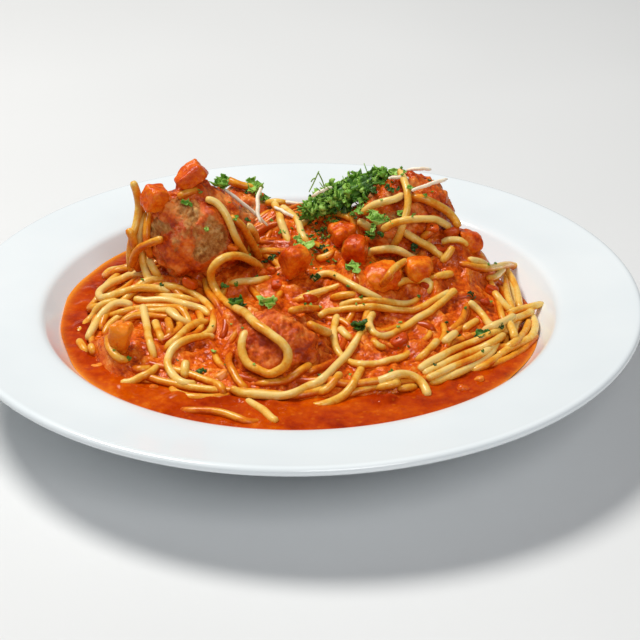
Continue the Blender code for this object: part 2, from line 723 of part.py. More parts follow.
def build_toppings(materials, collection, cutters, heap):
    """Meatballs in their seats, then tomato, parsley and cheese, each dropped onto what is already there."""
    pile = [heap]
    for name, (x, y, z, radius) in MEATBALLS.items():
        ball = ball_object(name, radius, 0, materials["minced_meat"], collection)
        place(ball, (x, y, z))
        pile.append(ball)
    for name, (x, y, *rest) in TOMATOES.items():
        piece = tomato_object(name, rest[:3], materials["diced_tomato"], collection)
        place(piece, (x / 1000, y / 1000, 0.12), rest[3:])
        drop_onto(piece, pile)
        pile.append(piece)
    bank = build_parsley_pile(materials["parsley"], collection, cutters)
    drop_onto(bank, pile)
    pile.append(bank)
    for name, (x, y, length, turn, tip) in SHREDS.items():
        shred = shred_object(name, length, materials["hard_cheese"], collection)
        shred.data.transform(Matrix.Rotation(math.radians(tip), 4, "Y"))
        place(shred, (x / 1000, y / 1000, 0.12), (0, 0, turn))
        drop_onto(shred, pile)
        pile.append(shred)
    for name, (x, y, width, turn) in SINGLE_LEAVES.items():
        leaf = add_object(name, leaf_mesh(name, width / 1000, turn, 0.12), materials["parsley"], collection)
        thicken(leaf)
        place(leaf, (x / 1000, y / 1000, 0.12))
        drop_onto(leaf, pile)
        pile.append(leaf)


def main():
    clear_scene()
    materials = {name: make_material(name) for name in COLOURS}
    dish = make_collection("spaghetti_and_meatballs")
    cutters = make_collection("cutters", hidden=True)
    turned_object("plate", plate_profile(), materials["glazed_porcelain"], dish)
    build_sauce(materials["tomato_sauce"], dish, cutters)
    heap = build_heap(materials["cooked_pasta"], dish, cutters)
    build_toppings(materials, dish, cutters, heap)
    for cutter in cutters.objects:
        cutter.hide_render = True
        cutter.display_type = "WIRE"


main()
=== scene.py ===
"""Spaghetti and meatballs in tomato sauce on a wide-rimmed plate: what shows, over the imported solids.

Metres, +Z up, the plate's foot on the floor. Strands that stand out were followed in the photograph, so
their stations are pixels of its 640 x 640 frame, laid on the heap along the camera's rays. The rest is laid
by rule.
"""

import math

import bpy
import numpy as np
from mathutils import Matrix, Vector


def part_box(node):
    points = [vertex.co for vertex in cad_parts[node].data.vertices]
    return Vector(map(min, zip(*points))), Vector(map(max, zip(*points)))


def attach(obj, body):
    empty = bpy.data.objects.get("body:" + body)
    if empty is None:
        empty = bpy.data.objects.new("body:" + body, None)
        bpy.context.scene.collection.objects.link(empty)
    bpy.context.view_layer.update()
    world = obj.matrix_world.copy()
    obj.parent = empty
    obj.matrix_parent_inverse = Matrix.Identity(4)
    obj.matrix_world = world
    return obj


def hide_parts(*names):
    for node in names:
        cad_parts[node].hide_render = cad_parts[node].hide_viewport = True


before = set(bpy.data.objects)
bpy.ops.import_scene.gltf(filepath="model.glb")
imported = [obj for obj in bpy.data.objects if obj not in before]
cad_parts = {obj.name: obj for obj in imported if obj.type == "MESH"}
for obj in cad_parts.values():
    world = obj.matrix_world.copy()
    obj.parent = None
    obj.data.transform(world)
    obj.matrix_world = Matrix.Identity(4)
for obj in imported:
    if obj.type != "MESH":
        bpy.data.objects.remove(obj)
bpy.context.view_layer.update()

# Camera, as fitted to the plate's rim in the photograph
PHOTO_SIDE = 640
LENS = 93.117
SENSOR = 36.0
EYE = np.array((0.00787533, -0.592773, 0.32754957))
VIEW_ELEVATION = math.radians(27.2432)
VIEW_ROLL = math.radians(-0.3509)

# The same sizes as the solids have
RIM_RADIUS = 0.1348
RIM_HEIGHT = 0.0368
RIM_THICKNESS = 0.0036
BREAK_RADIUS = 0.1025
BREAK_HEIGHT = 0.033
FLOOR_RADIUS = 0.072
FLOOR_HEIGHT = 0.009
FOOT_RADIUS = 0.062
FOOT_WIDTH = 0.004
FOOT_RISE = 0.003
WALL = 0.0045
SAUCE_LEVEL = 0.0255
HEAP_MIDDLE = (0.000, -0.002)
HEAP_HALF = (0.089, 0.070)
HEAP_SQUARENESS = 2.4
EDGE_LIFT = 0.0040
EDGE_ROUNDING = 0.05
HEAP_BACK = 0.061
RIDGE_TOP = 0.0522
RIDGE_PLACE = 0.048
SWELL_FADE = 4.5
SWELLS = (
    # middle x and y, reach in x and in y, and height
    (0.004, 0.030, 0.060, 0.037, 0.0125),
    (0.061, 0.014, 0.011, 0.012, 0.0080),
    (-0.060, -0.010, 0.022, 0.022, 0.0015),
    (0.008, 0.043, 0.022, 0.012, 0.0090),
)
STRAND_RADIUS = 0.0015

MEATBALLS = {
    # middle x, y, z, radius, and the seed of its crumbs
    "meatball_left": (-0.0415, 0.022, 0.0500, 0.0203, 5),
    "meatball_back": (-0.0270, 0.0595, 0.0350, 0.0188, 6),
    "meatball_right": (0.0430, 0.034, 0.0500, 0.0203, 7),
    "meatball_front": (-0.0080, -0.042, 0.0305, 0.0160, 8),
}
TOMATOES = {
    # half sizes in mm, a turn about each axis in degrees, how sharp its edges are, how orange it is, and
    # its share of its solid's box
    "tomato_top": (6.4, 4.6, 4.4, 10, -28, 20, 8, 0.05, 0.84),
    "tomato_shoulder": (4.8, 4.6, 5.4, 0, 20, 35, 7, 0.15, 0.87),
    "tomato_middle": (5.6, 5.2, 6.6, 25, 16, 28, 4.5, 0.1, 0.91),
    "tomato_pair_back": (5.4, 4.6, 4.4, -10, -8, 15, 4.5, 0.0, 0.93),
    "tomato_pair_front": (5.0, 4.6, 5.0, 20, 0, -20, 4.5, -0.05, 0.93),
    "tomato_right": (4.6, 4.6, 4.8, 0, -10, 15, 5, 0.05, 0.93),
    "tomato_round": (7.6, 6.2, 4.2, 18, 0, 0, 3, 0.22, 0.95),
    "tomato_slope": (5.2, 4.8, 4.0, 0, 12, 8, 3.2, 0.3, 0.93),
    "tomato_left_low": (4.2, 4.8, 6.2, 0, 16, -15, 3.4, 0.65, 0.93),
}
BARE_MEAT = (
    # where the left ball shows its meat: pixels, and the patch's half angle
    (158, 228, 0.27),
    (185, 211, 0.33),
    (211, 240, 0.36),
    (202, 254, 0.22),
)
PILE_HALF = (0.020, 0.008, 0.0052)
PILE_TILT = 27
SINGLE_LEAVES = {
    # width in mm, turn in degrees, how bright (0 deep green, 1 light green), and how many leaflets
    "parsley_leaf_middle": (8.5, 60, 1.15, 3),
    "parsley_leaf_left": (6.0, 110, 0.3, 3),
    "parsley_leaf_front": (6.5, 60, 0.3, 2),
    "parsley_leaf_slope": (6.5, 200, 0.9, 3),
    "parsley_leaf_right": (8.0, 20, 0.15, 1),
    "parsley_leaf_ball": (7.0, 75, 0.7, 3),
    "parsley_leaf_saddle": (8.0, 30, 0.7, 4),
    "parsley_leaf_heap": (8.0, 150, 0.95, 3),
    "parsley_leaf_fold": (8.0, 10, 0.8, 4),
}
BANK_STEMS = (
    # thin stems that stand up over the bank, as pixels
    ((309, 192), (314, 182), (318, 173), (319, 171)),
    ((318, 172), (322, 180), (325, 189)),
    ((316, 178), (313, 179), (311, 182)),
)
SHREDS = {
    # length in mm, turn in degrees about Z, and how much the strip tips at its far end
    "cheese_shred_long": (25, 0, 43),
    "cheese_shred_cross": (17, -90, 35),
    "cheese_shred_saddle": (22, -12, 0),
    "cheese_shred_saddle_low": (12, -40, 10),
    "cheese_shred_bank": (9, 15, -20),
    "cheese_shred_peak": (10, 5, 0),
    "cheese_shred_top": (8, 0, 0),
    "cheese_shred_right": (19, 38, 0),
}

TOPPINGS = (*TOMATOES, *SINGLE_LEAVES)

# At the right and back the heap holds the sauce back, so that it falls away before the wall: how far it
# falls, from which share of the way out, towards which direction, and to how far on either side of that
POOL_FALL = 0.011
POOL_FALL_START = 0.80
POOL_FALL_TURN = math.radians(32)
POOL_FALL_WIDTH = 0.62

# Height maps of the pile
MAP_CELL = 0.0005
MAP_HALF = 0.105
AXIS = np.arange(-MAP_HALF, MAP_HALF + MAP_CELL / 2, MAP_CELL)

# Strands laid by rule: how many routes are tried, the fewest and most steps of a route, the spacing of
# its points, how far under the solids' bed they start, how far above it they may rise, how often a line
# is eased over the gaps, how far it is pressed into what is below it, in strand radii, how deep its ends
# dive, the sides of its tube, and how red the sauce stains it
FILLER_TRIES = 6500
FILLER_LENGTHS = (34, 56)
FILLER_STEP = 0.0016
FILLER_SINK = 0.0034
FILLER_RISE = 0.0010
FILLER_STIFFNESS = 14
PRESSED_IN = 0.25
FILLER_DIVE = 0.0022
FILLER_SIDES = 8
FILLER_STAIN = 0.34

# Which routes are kept: how far out a point counts as on the heap, the least share of such points, and how
# far below the bed's level the pile counts as bare. Then, in front and, from this y on, at the back: the
# share of a route that may lie high, how much higher its highest point may be, and the least share of it
# that has to cover bare bed
ON_HEAP = 0.995
LEAST_ON_HEAP = 0.75
BARE_DEPTH = 0.0009
BACK_START = 0.03
FRONT_LIMITS = (0.35, 0.0032, 0.42)
BACK_LIMITS = (0.5, 0.008, 0.3)

# How thick strands are drawn against their solids, at least and at most, how their stain wanders along
# them (mean and spread), and how much redder they are on their lower flanks, a painted reflection of the
# sauce under a paler top, and where the sauce stains them near it
STRAND_SPREAD = (1.00, 1.16)
STAIN_DRIFT = (0.05, 0.17)
FLANK_REFLECTION_AND_STAIN = 0.42

# Strands cast on the pile: the spacing of their rays in pixels, how far they stay off it, how often they
# are eased over its hollows, how deep a hidden end dives, the spacing of their points, the sides of their
# tubes, how much paler they are than their tables say, and about how many pixels a metre of the heap covers
TRACED_PIXELS = 2.4
TRACED_LIFT = 0.0005
TRACED_STIFFNESS = 30
TRACED_DIVE = 0.0038
TRACED_STEP = 0.0012
TRACED_SIDES = 12
TRACED_PALER = 0.1
PIXELS_PER_METRE = 2400

# Distances from the eye at which rays look for the pile, one that is surely beyond it, and the room round
# a ball
SIGHT = np.linspace(0.50, 0.82, 641)
FAR_OFF = 9
CLEAR = 0.0006

# The sauce on the heap: where it goes down to the pool, in shares of the way out, how thick it can lie,
# how many lumps are tried in it, and how far to the left of the tomato at the right its mound lies
HEAP_RIM = (0.93, 1.03)
THICKEST = 1.4
LUMP_TRIES = 7500
BESIDE_RIGHT = 0.007

# How many crumbs a ball has, how many leaves and stems the bank, how many bits of parsley are strewn in
# the hollow under it, round it and over the heap, the share by which a diced piece's lower half is drawn
# down, half a leaf's thickness, and half a shred's
CRUMBS = 1100
PILE_LEAVES = 215
PILE_STEMS = 26
POCKET_BITS = 90
BANK_BITS = 70
HEAP_BITS = 80
FOOT_STRETCH = 0.22
HALF_LEAF = 0.00012
SHRED_RADIUS = 0.00092

# Round what the strands of the pile curl: plan position and reach
WHORLS = ((-0.057, -0.028, 0.024), (-0.008, -0.042, 0.022), (0.040, -0.030, 0.018), (0.043, 0.030, 0.030))

# Strands followed in the photograph, the deepest first: how far the sauce has stained each (0 pale, 1
# red), which ends show (0 none, 1 the first, 2 the last, 3 both), then its pixels, with a lift in mm
# where it hangs clear
TRACED = {
    "twirl_sunk": (0.4, 0, (108, 337, 1), (109, 346, 1.5), (113, 353, 1.5), (120, 359, 1.5), (129, 361, 1)),
    "twirl_left_low": (0.45, 0, (79, 341), (84, 349), (88, 356)),
    "twirl_left_lower": (0.45, 0, (91, 346), (93, 351), (95, 356)),
    "round_stub": (0.3, 3, (386, 281, 9), (391, 275, 9.5), (397, 269, 9), (402, 264, 7)),
    "pocket_stub": (0.15, 3, (186, 361), (185, 369), (185, 378)),
    "twirl_down_short": (0.3, 0, (155, 322), (158, 330), (161, 338), (163, 345)),
    "twirl_down_right": (0.4, 0, (168, 320), (170, 329), (170, 338)),
    "twirl_down": (
        0.1, 0, (143, 306), (145, 317), (147, 327), (148, 336), (151, 346), (153, 354), (154, 361),
    ),
    "twirl_diagonal": (0.12, 0, (168, 310), (175, 316), (183, 321), (191, 325)),
    "twirl_foot_behind": (0.6, 0, (134, 369), (142, 370), (150, 369)),
    "twirl_foot": (0.2, 1, (121, 383), (131, 382), (141, 377), (150, 373), (158, 366)),
    "loop_entry": (
        0.3, 0, (208, 323), (198, 323), (190, 327), (183, 333), (176, 340), (169, 346), (165, 355),
    ),
    "twirl_short": (0.3, 0, (137, 309), (127, 311), (117, 314), (109, 317)),
    "twirl_inner": (
        0.08, 3, (132, 306), (124, 303), (115, 304), (106, 310), (100, 317), (95, 325), (90, 334),
        (88, 340),
    ),
    "twirl_outermost": (
        0.3, 0, (117, 301), (104, 304), (97, 309), (93, 316), (86, 323), (82, 328), (77, 337),
    ),
    "twirl_straight": (
        0.15, 1, (134, 299), (145, 301), (160, 300), (171, 301), (183, 304), (194, 307), (203, 310),
        (211, 317),
    ),
    "twirl_above": (0.3, 0, (153, 295), (169, 297), (183, 298), (195, 302), (204, 306)),
    "twirl_thick": (0.4, 0, (163, 285), (177, 288), (189, 292), (198, 297), (207, 304), (215, 315)),
    "hairpin": (
        0.08, 0, (150, 277), (140, 275), (131, 275), (122, 279), (112, 283), (104, 288), (99, 293),
        (101, 298), (108, 297), (117, 294), (127, 291), (138, 288), (150, 288), (160, 289), (172, 291),
    ),
    "front_sunk": (
        0.5, 0, (181, 411, 0.9), (196, 411, 1), (209, 411, 1), (223, 413, 1), (237, 418, 1),
        (247, 422, 0.9), (259, 423),
    ),
    "loop_below": (0.35, 0, (171, 388), (176, 393), (187, 397), (198, 398), (214, 398), (230, 396)),
    "loop_left": (
        0.2, 0, (213, 337), (201, 337), (190, 339), (180, 343), (172, 350), (168, 359), (168, 366),
        (172, 374), (179, 381), (188, 384), (195, 384),
    ),
    "front_end": (0.2, 2, (247, 401), (256, 406), (264, 411), (271, 418), (277, 422)),
    "front_behind": (
        0.5, 0, (252, 386), (262, 384), (273, 383), (284, 382), (294, 376), (302, 370), (310, 365),
    ),
    "front_low": (
        0.4, 0, (311, 407), (323, 405), (334, 401), (343, 396), (350, 389), (355, 381), (360, 372),
        (363, 366),
    ),
    "front_middle": (0.3, 0, (316, 394), (326, 390), (333, 383), (340, 374)),
    "front_high": (0.5, 0, (306, 375), (314, 370), (323, 367), (335, 362)),
    "short_slope": (0.35, 0, (309, 324), (318, 329), (329, 333)),
    "short_step": (0.15, 0, (340, 329), (346, 335), (353, 341)),
    "short_arc": (0.35, 0, (372, 341), (379, 347), (384, 348)),
    "middle_left": (0.5, 0, (290, 311), (305, 309), (318, 309)),
    "middle_rise": (0.45, 0, (292, 304), (303, 299), (313, 298), (322, 294), (332, 290)),
    "middle_bit": (0.45, 0, (333, 298), (341, 297), (350, 296)),
    "middle_end": (0.5, 0, (362, 290), (370, 295), (377, 299)),
    "u_strand": (
        0.12, 0, (337, 316), (334, 329), (334, 340), (336, 348), (340, 355), (346, 361), (355, 364),
        (367, 365), (379, 364), (388, 361), (398, 359), (406, 356), (410, 352),
    ),
    "front_long": (
        0.08, 1, (231, 388), (240, 393), (251, 394), (264, 395), (276, 396), (287, 395), (299, 391),
        (309, 386), (317, 383), (327, 375), (336, 366), (346, 356), (353, 346), (359, 337), (364, 329),
    ),
    "cup": (
        0.12, 2, (373, 313), (369, 321), (370, 328), (374, 334), (381, 337), (391, 335), (400, 330),
        (409, 325), (419, 318), (430, 312), (440, 304), (447, 297), (456, 290),
    ),
    "long_lower": (
        0.2, 1, (319, 317), (327, 312), (336, 311), (347, 309), (359, 308), (370, 307), (382, 308),
        (394, 310), (406, 311), (415, 310), (425, 306), (433, 301), (442, 296), (450, 292),
    ),
    "long_upper": (
        0.2, 1, (340, 306), (353, 302), (365, 301), (376, 301), (388, 302), (400, 304), (412, 303),
        (419, 299),
    ),
    "hook_faint": (0.6, 0, (397, 390), (406, 388), (416, 387)),
    "hook_under": (0.45, 0, (374, 389), (386, 386), (399, 383)),
    "hook": (
        0.08, 2, (373, 383), (383, 380), (393, 376), (402, 374), (412, 376), (420, 381), (425, 388),
        (428, 396),
    ),
    "by_the_bundle": (0.35, 0, (417, 362), (424, 355), (432, 347), (437, 341)),
    "right_low": (
        0.55, 0, (536, 335), (531, 342), (524, 349), (516, 354), (506, 360), (494, 364), (482, 367),
        (467, 371),
    ),
    "bundle_fifth": (0.4, 0, (468, 373), (482, 367), (494, 360), (502, 354)),
    "bundle_fourth": (
        0.2, 1, (430, 384), (444, 379), (458, 373), (470, 367), (481, 361), (491, 352), (497, 343),
    ),
    "bundle_third": (
        0.25, 1, (427, 379), (440, 373), (453, 367), (466, 362), (479, 356), (489, 349), (496, 342),
    ),
    "bundle_second": (
        0.3, 1, (423, 374), (436, 368), (448, 362), (460, 357), (472, 352), (484, 347), (495, 341),
        (504, 335),
    ),
    "bundle_first": (
        0.12, 1, (419, 370), (430, 362), (440, 357), (452, 351), (464, 346), (476, 341), (488, 336),
        (498, 331), (505, 325), (511, 317),
    ),
    "right_outer": (
        0.2, 0, (531, 315), (535, 324), (534, 332), (530, 338), (523, 342), (515, 346), (507, 350),
        (497, 357),
    ),
    "right_under_tip": (0.3, 0, (532, 310), (527, 315), (520, 319), (516, 324), (513, 332)),
    "right_down_last": (0.3, 0, (507, 275), (513, 288), (516, 301)),
    "right_down_next": (0.2, 0, (502, 270), (509, 279), (512, 290), (514, 300), (517, 309)),
    "right_down": (0.2, 0, (498, 268), (504, 277), (506, 287), (508, 297), (511, 306), (514, 315)),
    "right_down_outer": (0.1, 0, (506, 270), (513, 281), (517, 293), (519, 304), (521, 312)),
    "right_down_inner": (0.4, 0, (493, 291), (500, 300), (507, 308), (513, 313)),
    "right_rise": (0.15, 0, (497, 326), (508, 321), (520, 317), (532, 312)),
    "right_inner_arc": (0.3, 0, (529, 321), (526, 330), (521, 337), (514, 343), (505, 349)),
    "right_short_drop": (0.25, 0, (508, 322), (513, 331), (515, 340)),
    "right_start": (0.1, 1, (486, 279), (494, 278), (500, 273), (503, 269)),
    "tip_lower": (0.15, 2, (506, 313), (518, 310), (526, 308), (534, 306), (543, 304)),
    "tip_above": (0.25, 1, (468, 260), (480, 262), (487, 266)),
    "tip_upper": (
        0.35, 2, (456, 264), (466, 265), (474, 267), (482, 268), (492, 268), (502, 266), (509, 265),
        (517, 267),
    ),
    "right_curve": (0.45, 0, (467, 304), (464, 315), (460, 323), (454, 328), (447, 333)),
    "right_chunk": (0.05, 3, (443, 343), (450, 337), (457, 332)),
    "right_pale": (0.25, 0, (461, 332), (469, 326), (477, 321)),
    "right_thick": (0.1, 3, (469, 302), (477, 309), (483, 316), (488, 323), (495, 329)),
    "right_crossing": (0.1, 1, (483, 331), (493, 326), (503, 322), (514, 316)),
    "arch_beige": (0.25, 2, (439, 246), (446, 241), (453, 240), (461, 241), (467, 246)),
    "short_beige": (0.15, 3, (453, 247), (448, 255), (442, 262)),
    "slope_bit": (0.1, 3, (424, 265), (431, 270)),
    "hooked_next": (0.35, 2, (429, 281), (437, 277), (445, 275), (453, 274)),
    "hooked": (0.08, 1, (396, 284), (405, 281), (415, 281), (425, 281), (430, 284), (430, 290), (426, 297)),
    "over_round": (0.25, 0, (406, 261, 1), (399, 265, 3), (393, 270, 4), (388, 277, 4), (382, 285, 2)),
    "ball_side_short": (0.45, 0, (422, 239), (429, 233), (437, 228)),
    "ball_side": (
        0.3, 0, (410, 198), (420, 198), (429, 201), (437, 205), (444, 209), (449, 213), (454, 219),
        (459, 227),
    ),
    "ball_down": (0.25, 0, (404, 232), (412, 237), (420, 242), (428, 246), (436, 252), (443, 259)),
    "ball_vertical": (
        0.08, 0, (400, 170), (404, 180), (407, 190), (408, 200), (407, 210), (405, 218), (402, 227),
        (399, 236), (393, 247),
    ),
    "ball_across": (
        0.15, 1, (382, 230), (390, 225), (398, 222), (407, 220), (417, 219), (427, 219), (437, 220),
        (450, 227),
    ),
    "ball_high": (0.2, 1, (362, 213), (372, 206), (383, 202), (395, 199), (403, 195)),
    "arch_right": (
        0.12, 0, (365, 259, 1), (371, 252, 2), (380, 250, 3), (390, 249, 3), (400, 251, 3), (409, 256, 2),
        (419, 261),
    ),
    "right_edge": (0.6, 0, (474, 237), (477, 247), (476, 257)),
    "saddle_back": (0.2, 0, (266, 203), (278, 202), (291, 205)),
    "saddle_cross": (0.35, 0, (317, 210), (310, 217), (305, 222), (300, 227), (293, 232)),
    "saddle_flat": (
        0.08, 0, (282, 207), (290, 213), (296, 219), (299, 224), (301, 232), (305, 240), (309, 247),
    ),
    "saddle_left": (0.12, 0, (274, 203), (279, 213), (281, 222), (284, 230), (287, 238), (291, 246)),
    "saddle_orange": (0.45, 0, (319, 222), (329, 216), (338, 214), (347, 217), (355, 222)),
    "saddle_short": (0.1, 1, (358, 221), (366, 225), (371, 230)),
    "centre_beige": (0.3, 0, (315, 260), (326, 257), (336, 251)),
    "centre_third": (0.4, 0, (332, 299), (341, 296), (350, 295), (359, 294)),
    "centre_second": (0.25, 0, (299, 299), (310, 295), (320, 292), (331, 289), (345, 284)),
    "centre_long": (
        0.1, 1, (313, 281), (320, 275), (330, 274), (340, 278), (352, 285), (365, 292), (381, 300),
    ),
    "pocket_bottom": (0.15, 0, (225, 286), (240, 282), (255, 281), (269, 279)),
    "ball_short": (0.3, 1, (178, 197), (188, 193), (198, 191)),
    "ball_back": (0.5, 0, (228, 180), (240, 185), (250, 187), (258, 190)),
    "over_left_pale": (0.15, 0, (248, 225), (254, 233), (256, 242)),
    "over_left_low": (0.35, 0, (231, 217), (240, 224), (245, 231), (250, 240), (255, 249), (260, 259)),
    "over_left_ball": (
        0.08, 1, (206, 199), (215, 202), (222, 209), (227, 217), (231, 226), (235, 236), (240, 246),
        (247, 258),
    ),
    "double_bend": (
        0.3, 0, (262, 270), (256, 264, 1), (248, 259, 2), (240, 256, 2), (231, 256, 2), (222, 259, 2),
        (215, 265, 2), (211, 273, 2), (212, 282, 1), (216, 290), (220, 297), (226, 303), (235, 308),
        (245, 313), (251, 319), (257, 325), (265, 330), (273, 336), (281, 342, 1), (287, 350, 1),
        (288, 358, 1), (285, 366, 1), (278, 371), (269, 374, -0.5), (259, 370, -0.8), (249, 365, -1),
        (244, 358, -1.2), (242, 350, -1.2), (243, 339, -1.2), (246, 332),
    ),
}

# Small bits seen in the photograph: pixel, size in mm, and how dark (parsley) or orange (tomato) each is
PARSLEY_BITS = {
    "on_left_ball": (
        (188, 203, 3.6, 0.5), (200, 191, 2.2, 0.5), (236, 218, 2.0, 0.4), (247, 219, 2.0, 0.8),
    ),
    "by_left_ball": (
        (258, 196, 3.0, 0.3), (266, 199, 4.0, 0.3), (281, 231, 3.2, 0.5), (224, 285, 2.8, 0.5),
    ),
    "in_the_middle": (
        (264, 262, 2.2, 0.8), (272, 259, 3.0, 0.9), (281, 253, 2.4, 0.8), (299, 240, 3.4, 0.2),
        (311, 236, 1.8, 0.7), (322, 230, 2.2, 0.8), (322, 247, 2.6, 0.8), (327, 252, 2.2, 0.9),
        (314, 252, 2.2, 0.6), (311, 262, 1.6, 0.5), (317, 277, 3.2, 0.8), (309, 292, 1.8, 0.5),
        (349, 286, 1.8, 0.5), (236, 284, 1.8, 0.5),
    ),
    "under_the_bank": (
        (300, 208, 2.2, 0.6), (320, 212, 2.6, 0.3), (331, 218, 2.2, 0.6), (345, 212, 2.4, 0.5),
        (352, 216, 2.6, 0.3), (358, 205, 4.2, 0.2), (362, 213, 3.4, 0.3), (372, 214, 2.6, 0.5),
    ),
    "on_right_ball": (
        (378, 215, 3.2, 0.9), (386, 221, 2.2, 0.3), (391, 222, 1.8, 0.4), (373, 230, 4.4, 0.2),
        (380, 233, 3.4, 0.7), (368, 237, 3.0, 0.6), (400, 214, 3.2, 0.2), (391, 190, 2.6, 0.8),
        (381, 181, 3.4, 0.5), (375, 175, 3.6, 0.2), (391, 173, 4.0, 0.2), (373, 192, 2.6, 0.7),
        (388, 186, 2.2, 0.7), (425, 196, 2.2, 0.4), (414, 189, 1.8, 0.5), (415, 248, 3.6, 1.0),
        (419, 260, 2.2, 0.5),
    ),
    "on_the_right": ((471, 294, 3.8, 1.0), (500, 328, 2.8, 0.9), (478, 336, 2.6, 0.9)),
    "in_front": ((129, 359, 2.0, 0.5), (200, 372, 2.8, 0.8), (206, 371, 2.6, 0.8)),
}
# The hollow under the bank of leaves, full of herbs: its middle pixel, and their spread across and down
POCKET = (328, 228, 14, 14)
TOMATO_BITS = (
    (221, 376, 5.4, 1.0), (400, 342, 7.0, 0.3), (155, 388, 3.6, 0.8), (97, 367, 4.4, 1.2),
    (479, 380, 3.8, 1.0), (463, 389, 4.4, 0.6), (380, 405, 3.0, 0.9), (467, 336, 3.8, 0.9),
    (190, 283, 6.0, 0.5), (262, 273, 4.6, 0.6), (272, 270, 4.0, 0.5), (233, 248, 4.0, 0.7),
    (331, 268, 3.6, 0.8), (441, 250, 6.5, 0.4), (452, 232, 6.0, 0.5), (432, 228, 5.0, 0.5),
    (492, 290, 5.0, 0.3), (484, 302, 4.4, 0.2), (425, 285, 4.0, 0.2), (310, 298, 5.0, 0.3),
    (278, 285, 5.0, 0.4),
)

# Strands that stand up at the left, in an upright sheet that leans back: y = start + lean * z, in metres
STANDING_START = -0.0025
STANDING_LEAN = 0.38
STANDING = {
    "standing_behind": (
        0.4, 0, (141, 196), (142, 206), (140, 216), (138, 228), (137, 240), (137, 256), (138, 270),
    ),
    "standing_tall": (
        0.2, 1, (133, 182), (136, 190), (138, 198), (139, 206), (138, 215), (136, 225), (133, 235),
        (131, 245), (130, 256), (131, 270),
    ),
    "standing_stub": (0.2, 1, (128, 229), (131, 235), (134, 242), (135, 252)),
    "standing_pale": (
        0.1, 1, (147, 213), (143, 222), (141, 232), (141, 242), (142, 252), (143, 262), (146, 272),
        (149, 281),
    ),
    "standing_near": (0.6, 0, (149, 212), (147.5, 222), (146.5, 234), (147.5, 246), (151, 257)),
    "standing_brown": (0.35, 0, (149, 260), (153, 268), (159, 278)),
    "standing_slant": (0.45, 1, (162, 239), (153, 242), (146, 245), (140, 248), (135, 254), (132, 266)),
}


def camera_axes():
    """The camera's right, up and backward axes."""
    back = np.array((0, -math.cos(VIEW_ELEVATION), math.sin(VIEW_ELEVATION)))
    right = np.array((1.0, 0, 0))
    up = np.cross(right, -back)
    turn, lean = math.cos(VIEW_ROLL), math.sin(VIEW_ROLL)
    return right * turn + up * lean, up * turn - right * lean, back


VIEW_RIGHT, VIEW_UP, VIEW_BACK = camera_axes()
FOCAL = LENS / SENSOR * PHOTO_SIDE


def rays(pixels):
    """Unit directions from the eye through pixels of the photograph."""
    across = (pixels[:, :1] - PHOTO_SIDE / 2) / FOCAL
    rise = (PHOTO_SIDE / 2 - pixels[:, 1:2]) / FOCAL
    way = across * VIEW_RIGHT + rise * VIEW_UP - VIEW_BACK
    return way / np.linalg.norm(way, axis=1, keepdims=True)


# ---------------------------------------------------------------- fields on the plan


def plan():
    """The x and y of every cell of a height map."""
    return np.meshgrid(AXIS, AXIS, indexing="ij")


def blur(field, reach):
    """The field averaged with a bell curve whose standard deviation is reach, by Fourier transform."""
    wave = np.fft.fftfreq(field.shape[0], MAP_CELL)
    bell = np.exp(-2 * (math.pi * reach * wave) ** 2)
    return np.real(np.fft.ifft2(np.fft.fft2(field) * bell[:, None] * bell))


def spread(field, reach):
    """The highest value within reach of each cell."""
    cells = math.ceil(reach / MAP_CELL)
    best = field.copy()
    for i in range(-cells, cells + 1):
        for j in range(-cells, cells + 1):
            if (i * i + j * j) * MAP_CELL**2 <= reach**2:
                best = np.maximum(best, np.roll(field, (i, j), (0, 1)))
    return best


def mottle(reach, seed):
    """Seeded smooth unevenness over the plan, of about that size, with a standard deviation of 1."""
    rough = blur(np.random.default_rng(seed).normal(size=(len(AXIS), len(AXIS))), reach)
    return rough / rough.std()


def read(field, x, y):
    """The field between its cells, at any points, by bilinear mixing."""
    i = np.clip((x + MAP_HALF) / MAP_CELL, 0, len(AXIS) - 1.001)
    j = np.clip((y + MAP_HALF) / MAP_CELL, 0, len(AXIS) - 1.001)
    a, b = i.astype(int), j.astype(int)
    u, v = i - a, j - b
    low = field[a, b] * (1 - v) + field[a, b + 1] * v
    high = field[a + 1, b] * (1 - v) + field[a + 1, b + 1] * v
    return low * (1 - u) + high * u


def ease(value, low, high):
    """0 below low, 1 above high, and an S-curve between."""
    share = np.clip((value - low) / (high - low), 0, 1)
    return share * share * (3 - 2 * share)


def outline_radius(angle):
    """The heap's footprint along a direction, in shares of its half sizes: squarish, slightly uneven."""
    power = HEAP_SQUARENESS
    square = (np.abs(np.cos(angle)) ** power + np.abs(np.sin(angle)) ** power) ** (-1 / power)
    return square * (1 + 0.018 * np.sin(3 * angle + 0.9) + 0.014 * np.sin(5 * angle + 2.0))


def heap_share(x, y):
    """How far out a point lies: 0 in the middle of the heap and 1 on its footprint."""
    across = (x - HEAP_MIDDLE[0]) / HEAP_HALF[0]
    along = (y - HEAP_MIDDLE[1]) / HEAP_HALF[1]
    return np.hypot(across, along) / outline_radius(np.arctan2(along, across))


def heap_point(angle, share):
    """The plan position this share of the way out from the heap's middle to its footprint."""
    rim = outline_radius(angle)
    x = HEAP_MIDDLE[0] + HEAP_HALF[0] * share * rim * np.cos(angle)
    return x, HEAP_MIDDLE[1] + HEAP_HALF[1] * share * rim * np.sin(angle)


def bed_height(x, y):
    """The core's top, as in the solids: a low edge all round, and bell-shaped swells on it."""
    inward = np.clip(1 - heap_share(x, y), 0, 1)
    height = SAUCE_LEVEL + EDGE_LIFT * (1 - np.exp(-inward / EDGE_ROUNDING))
    for middle_x, middle_y, spread_x, spread_y, swell in SWELLS:
        far = ((x - middle_x) / spread_x) ** 2 + ((y - middle_y) / spread_y) ** 2
        height = height + swell * np.exp(-far / 2) * np.clip(SWELL_FADE * inward, 0, 1)
    return height


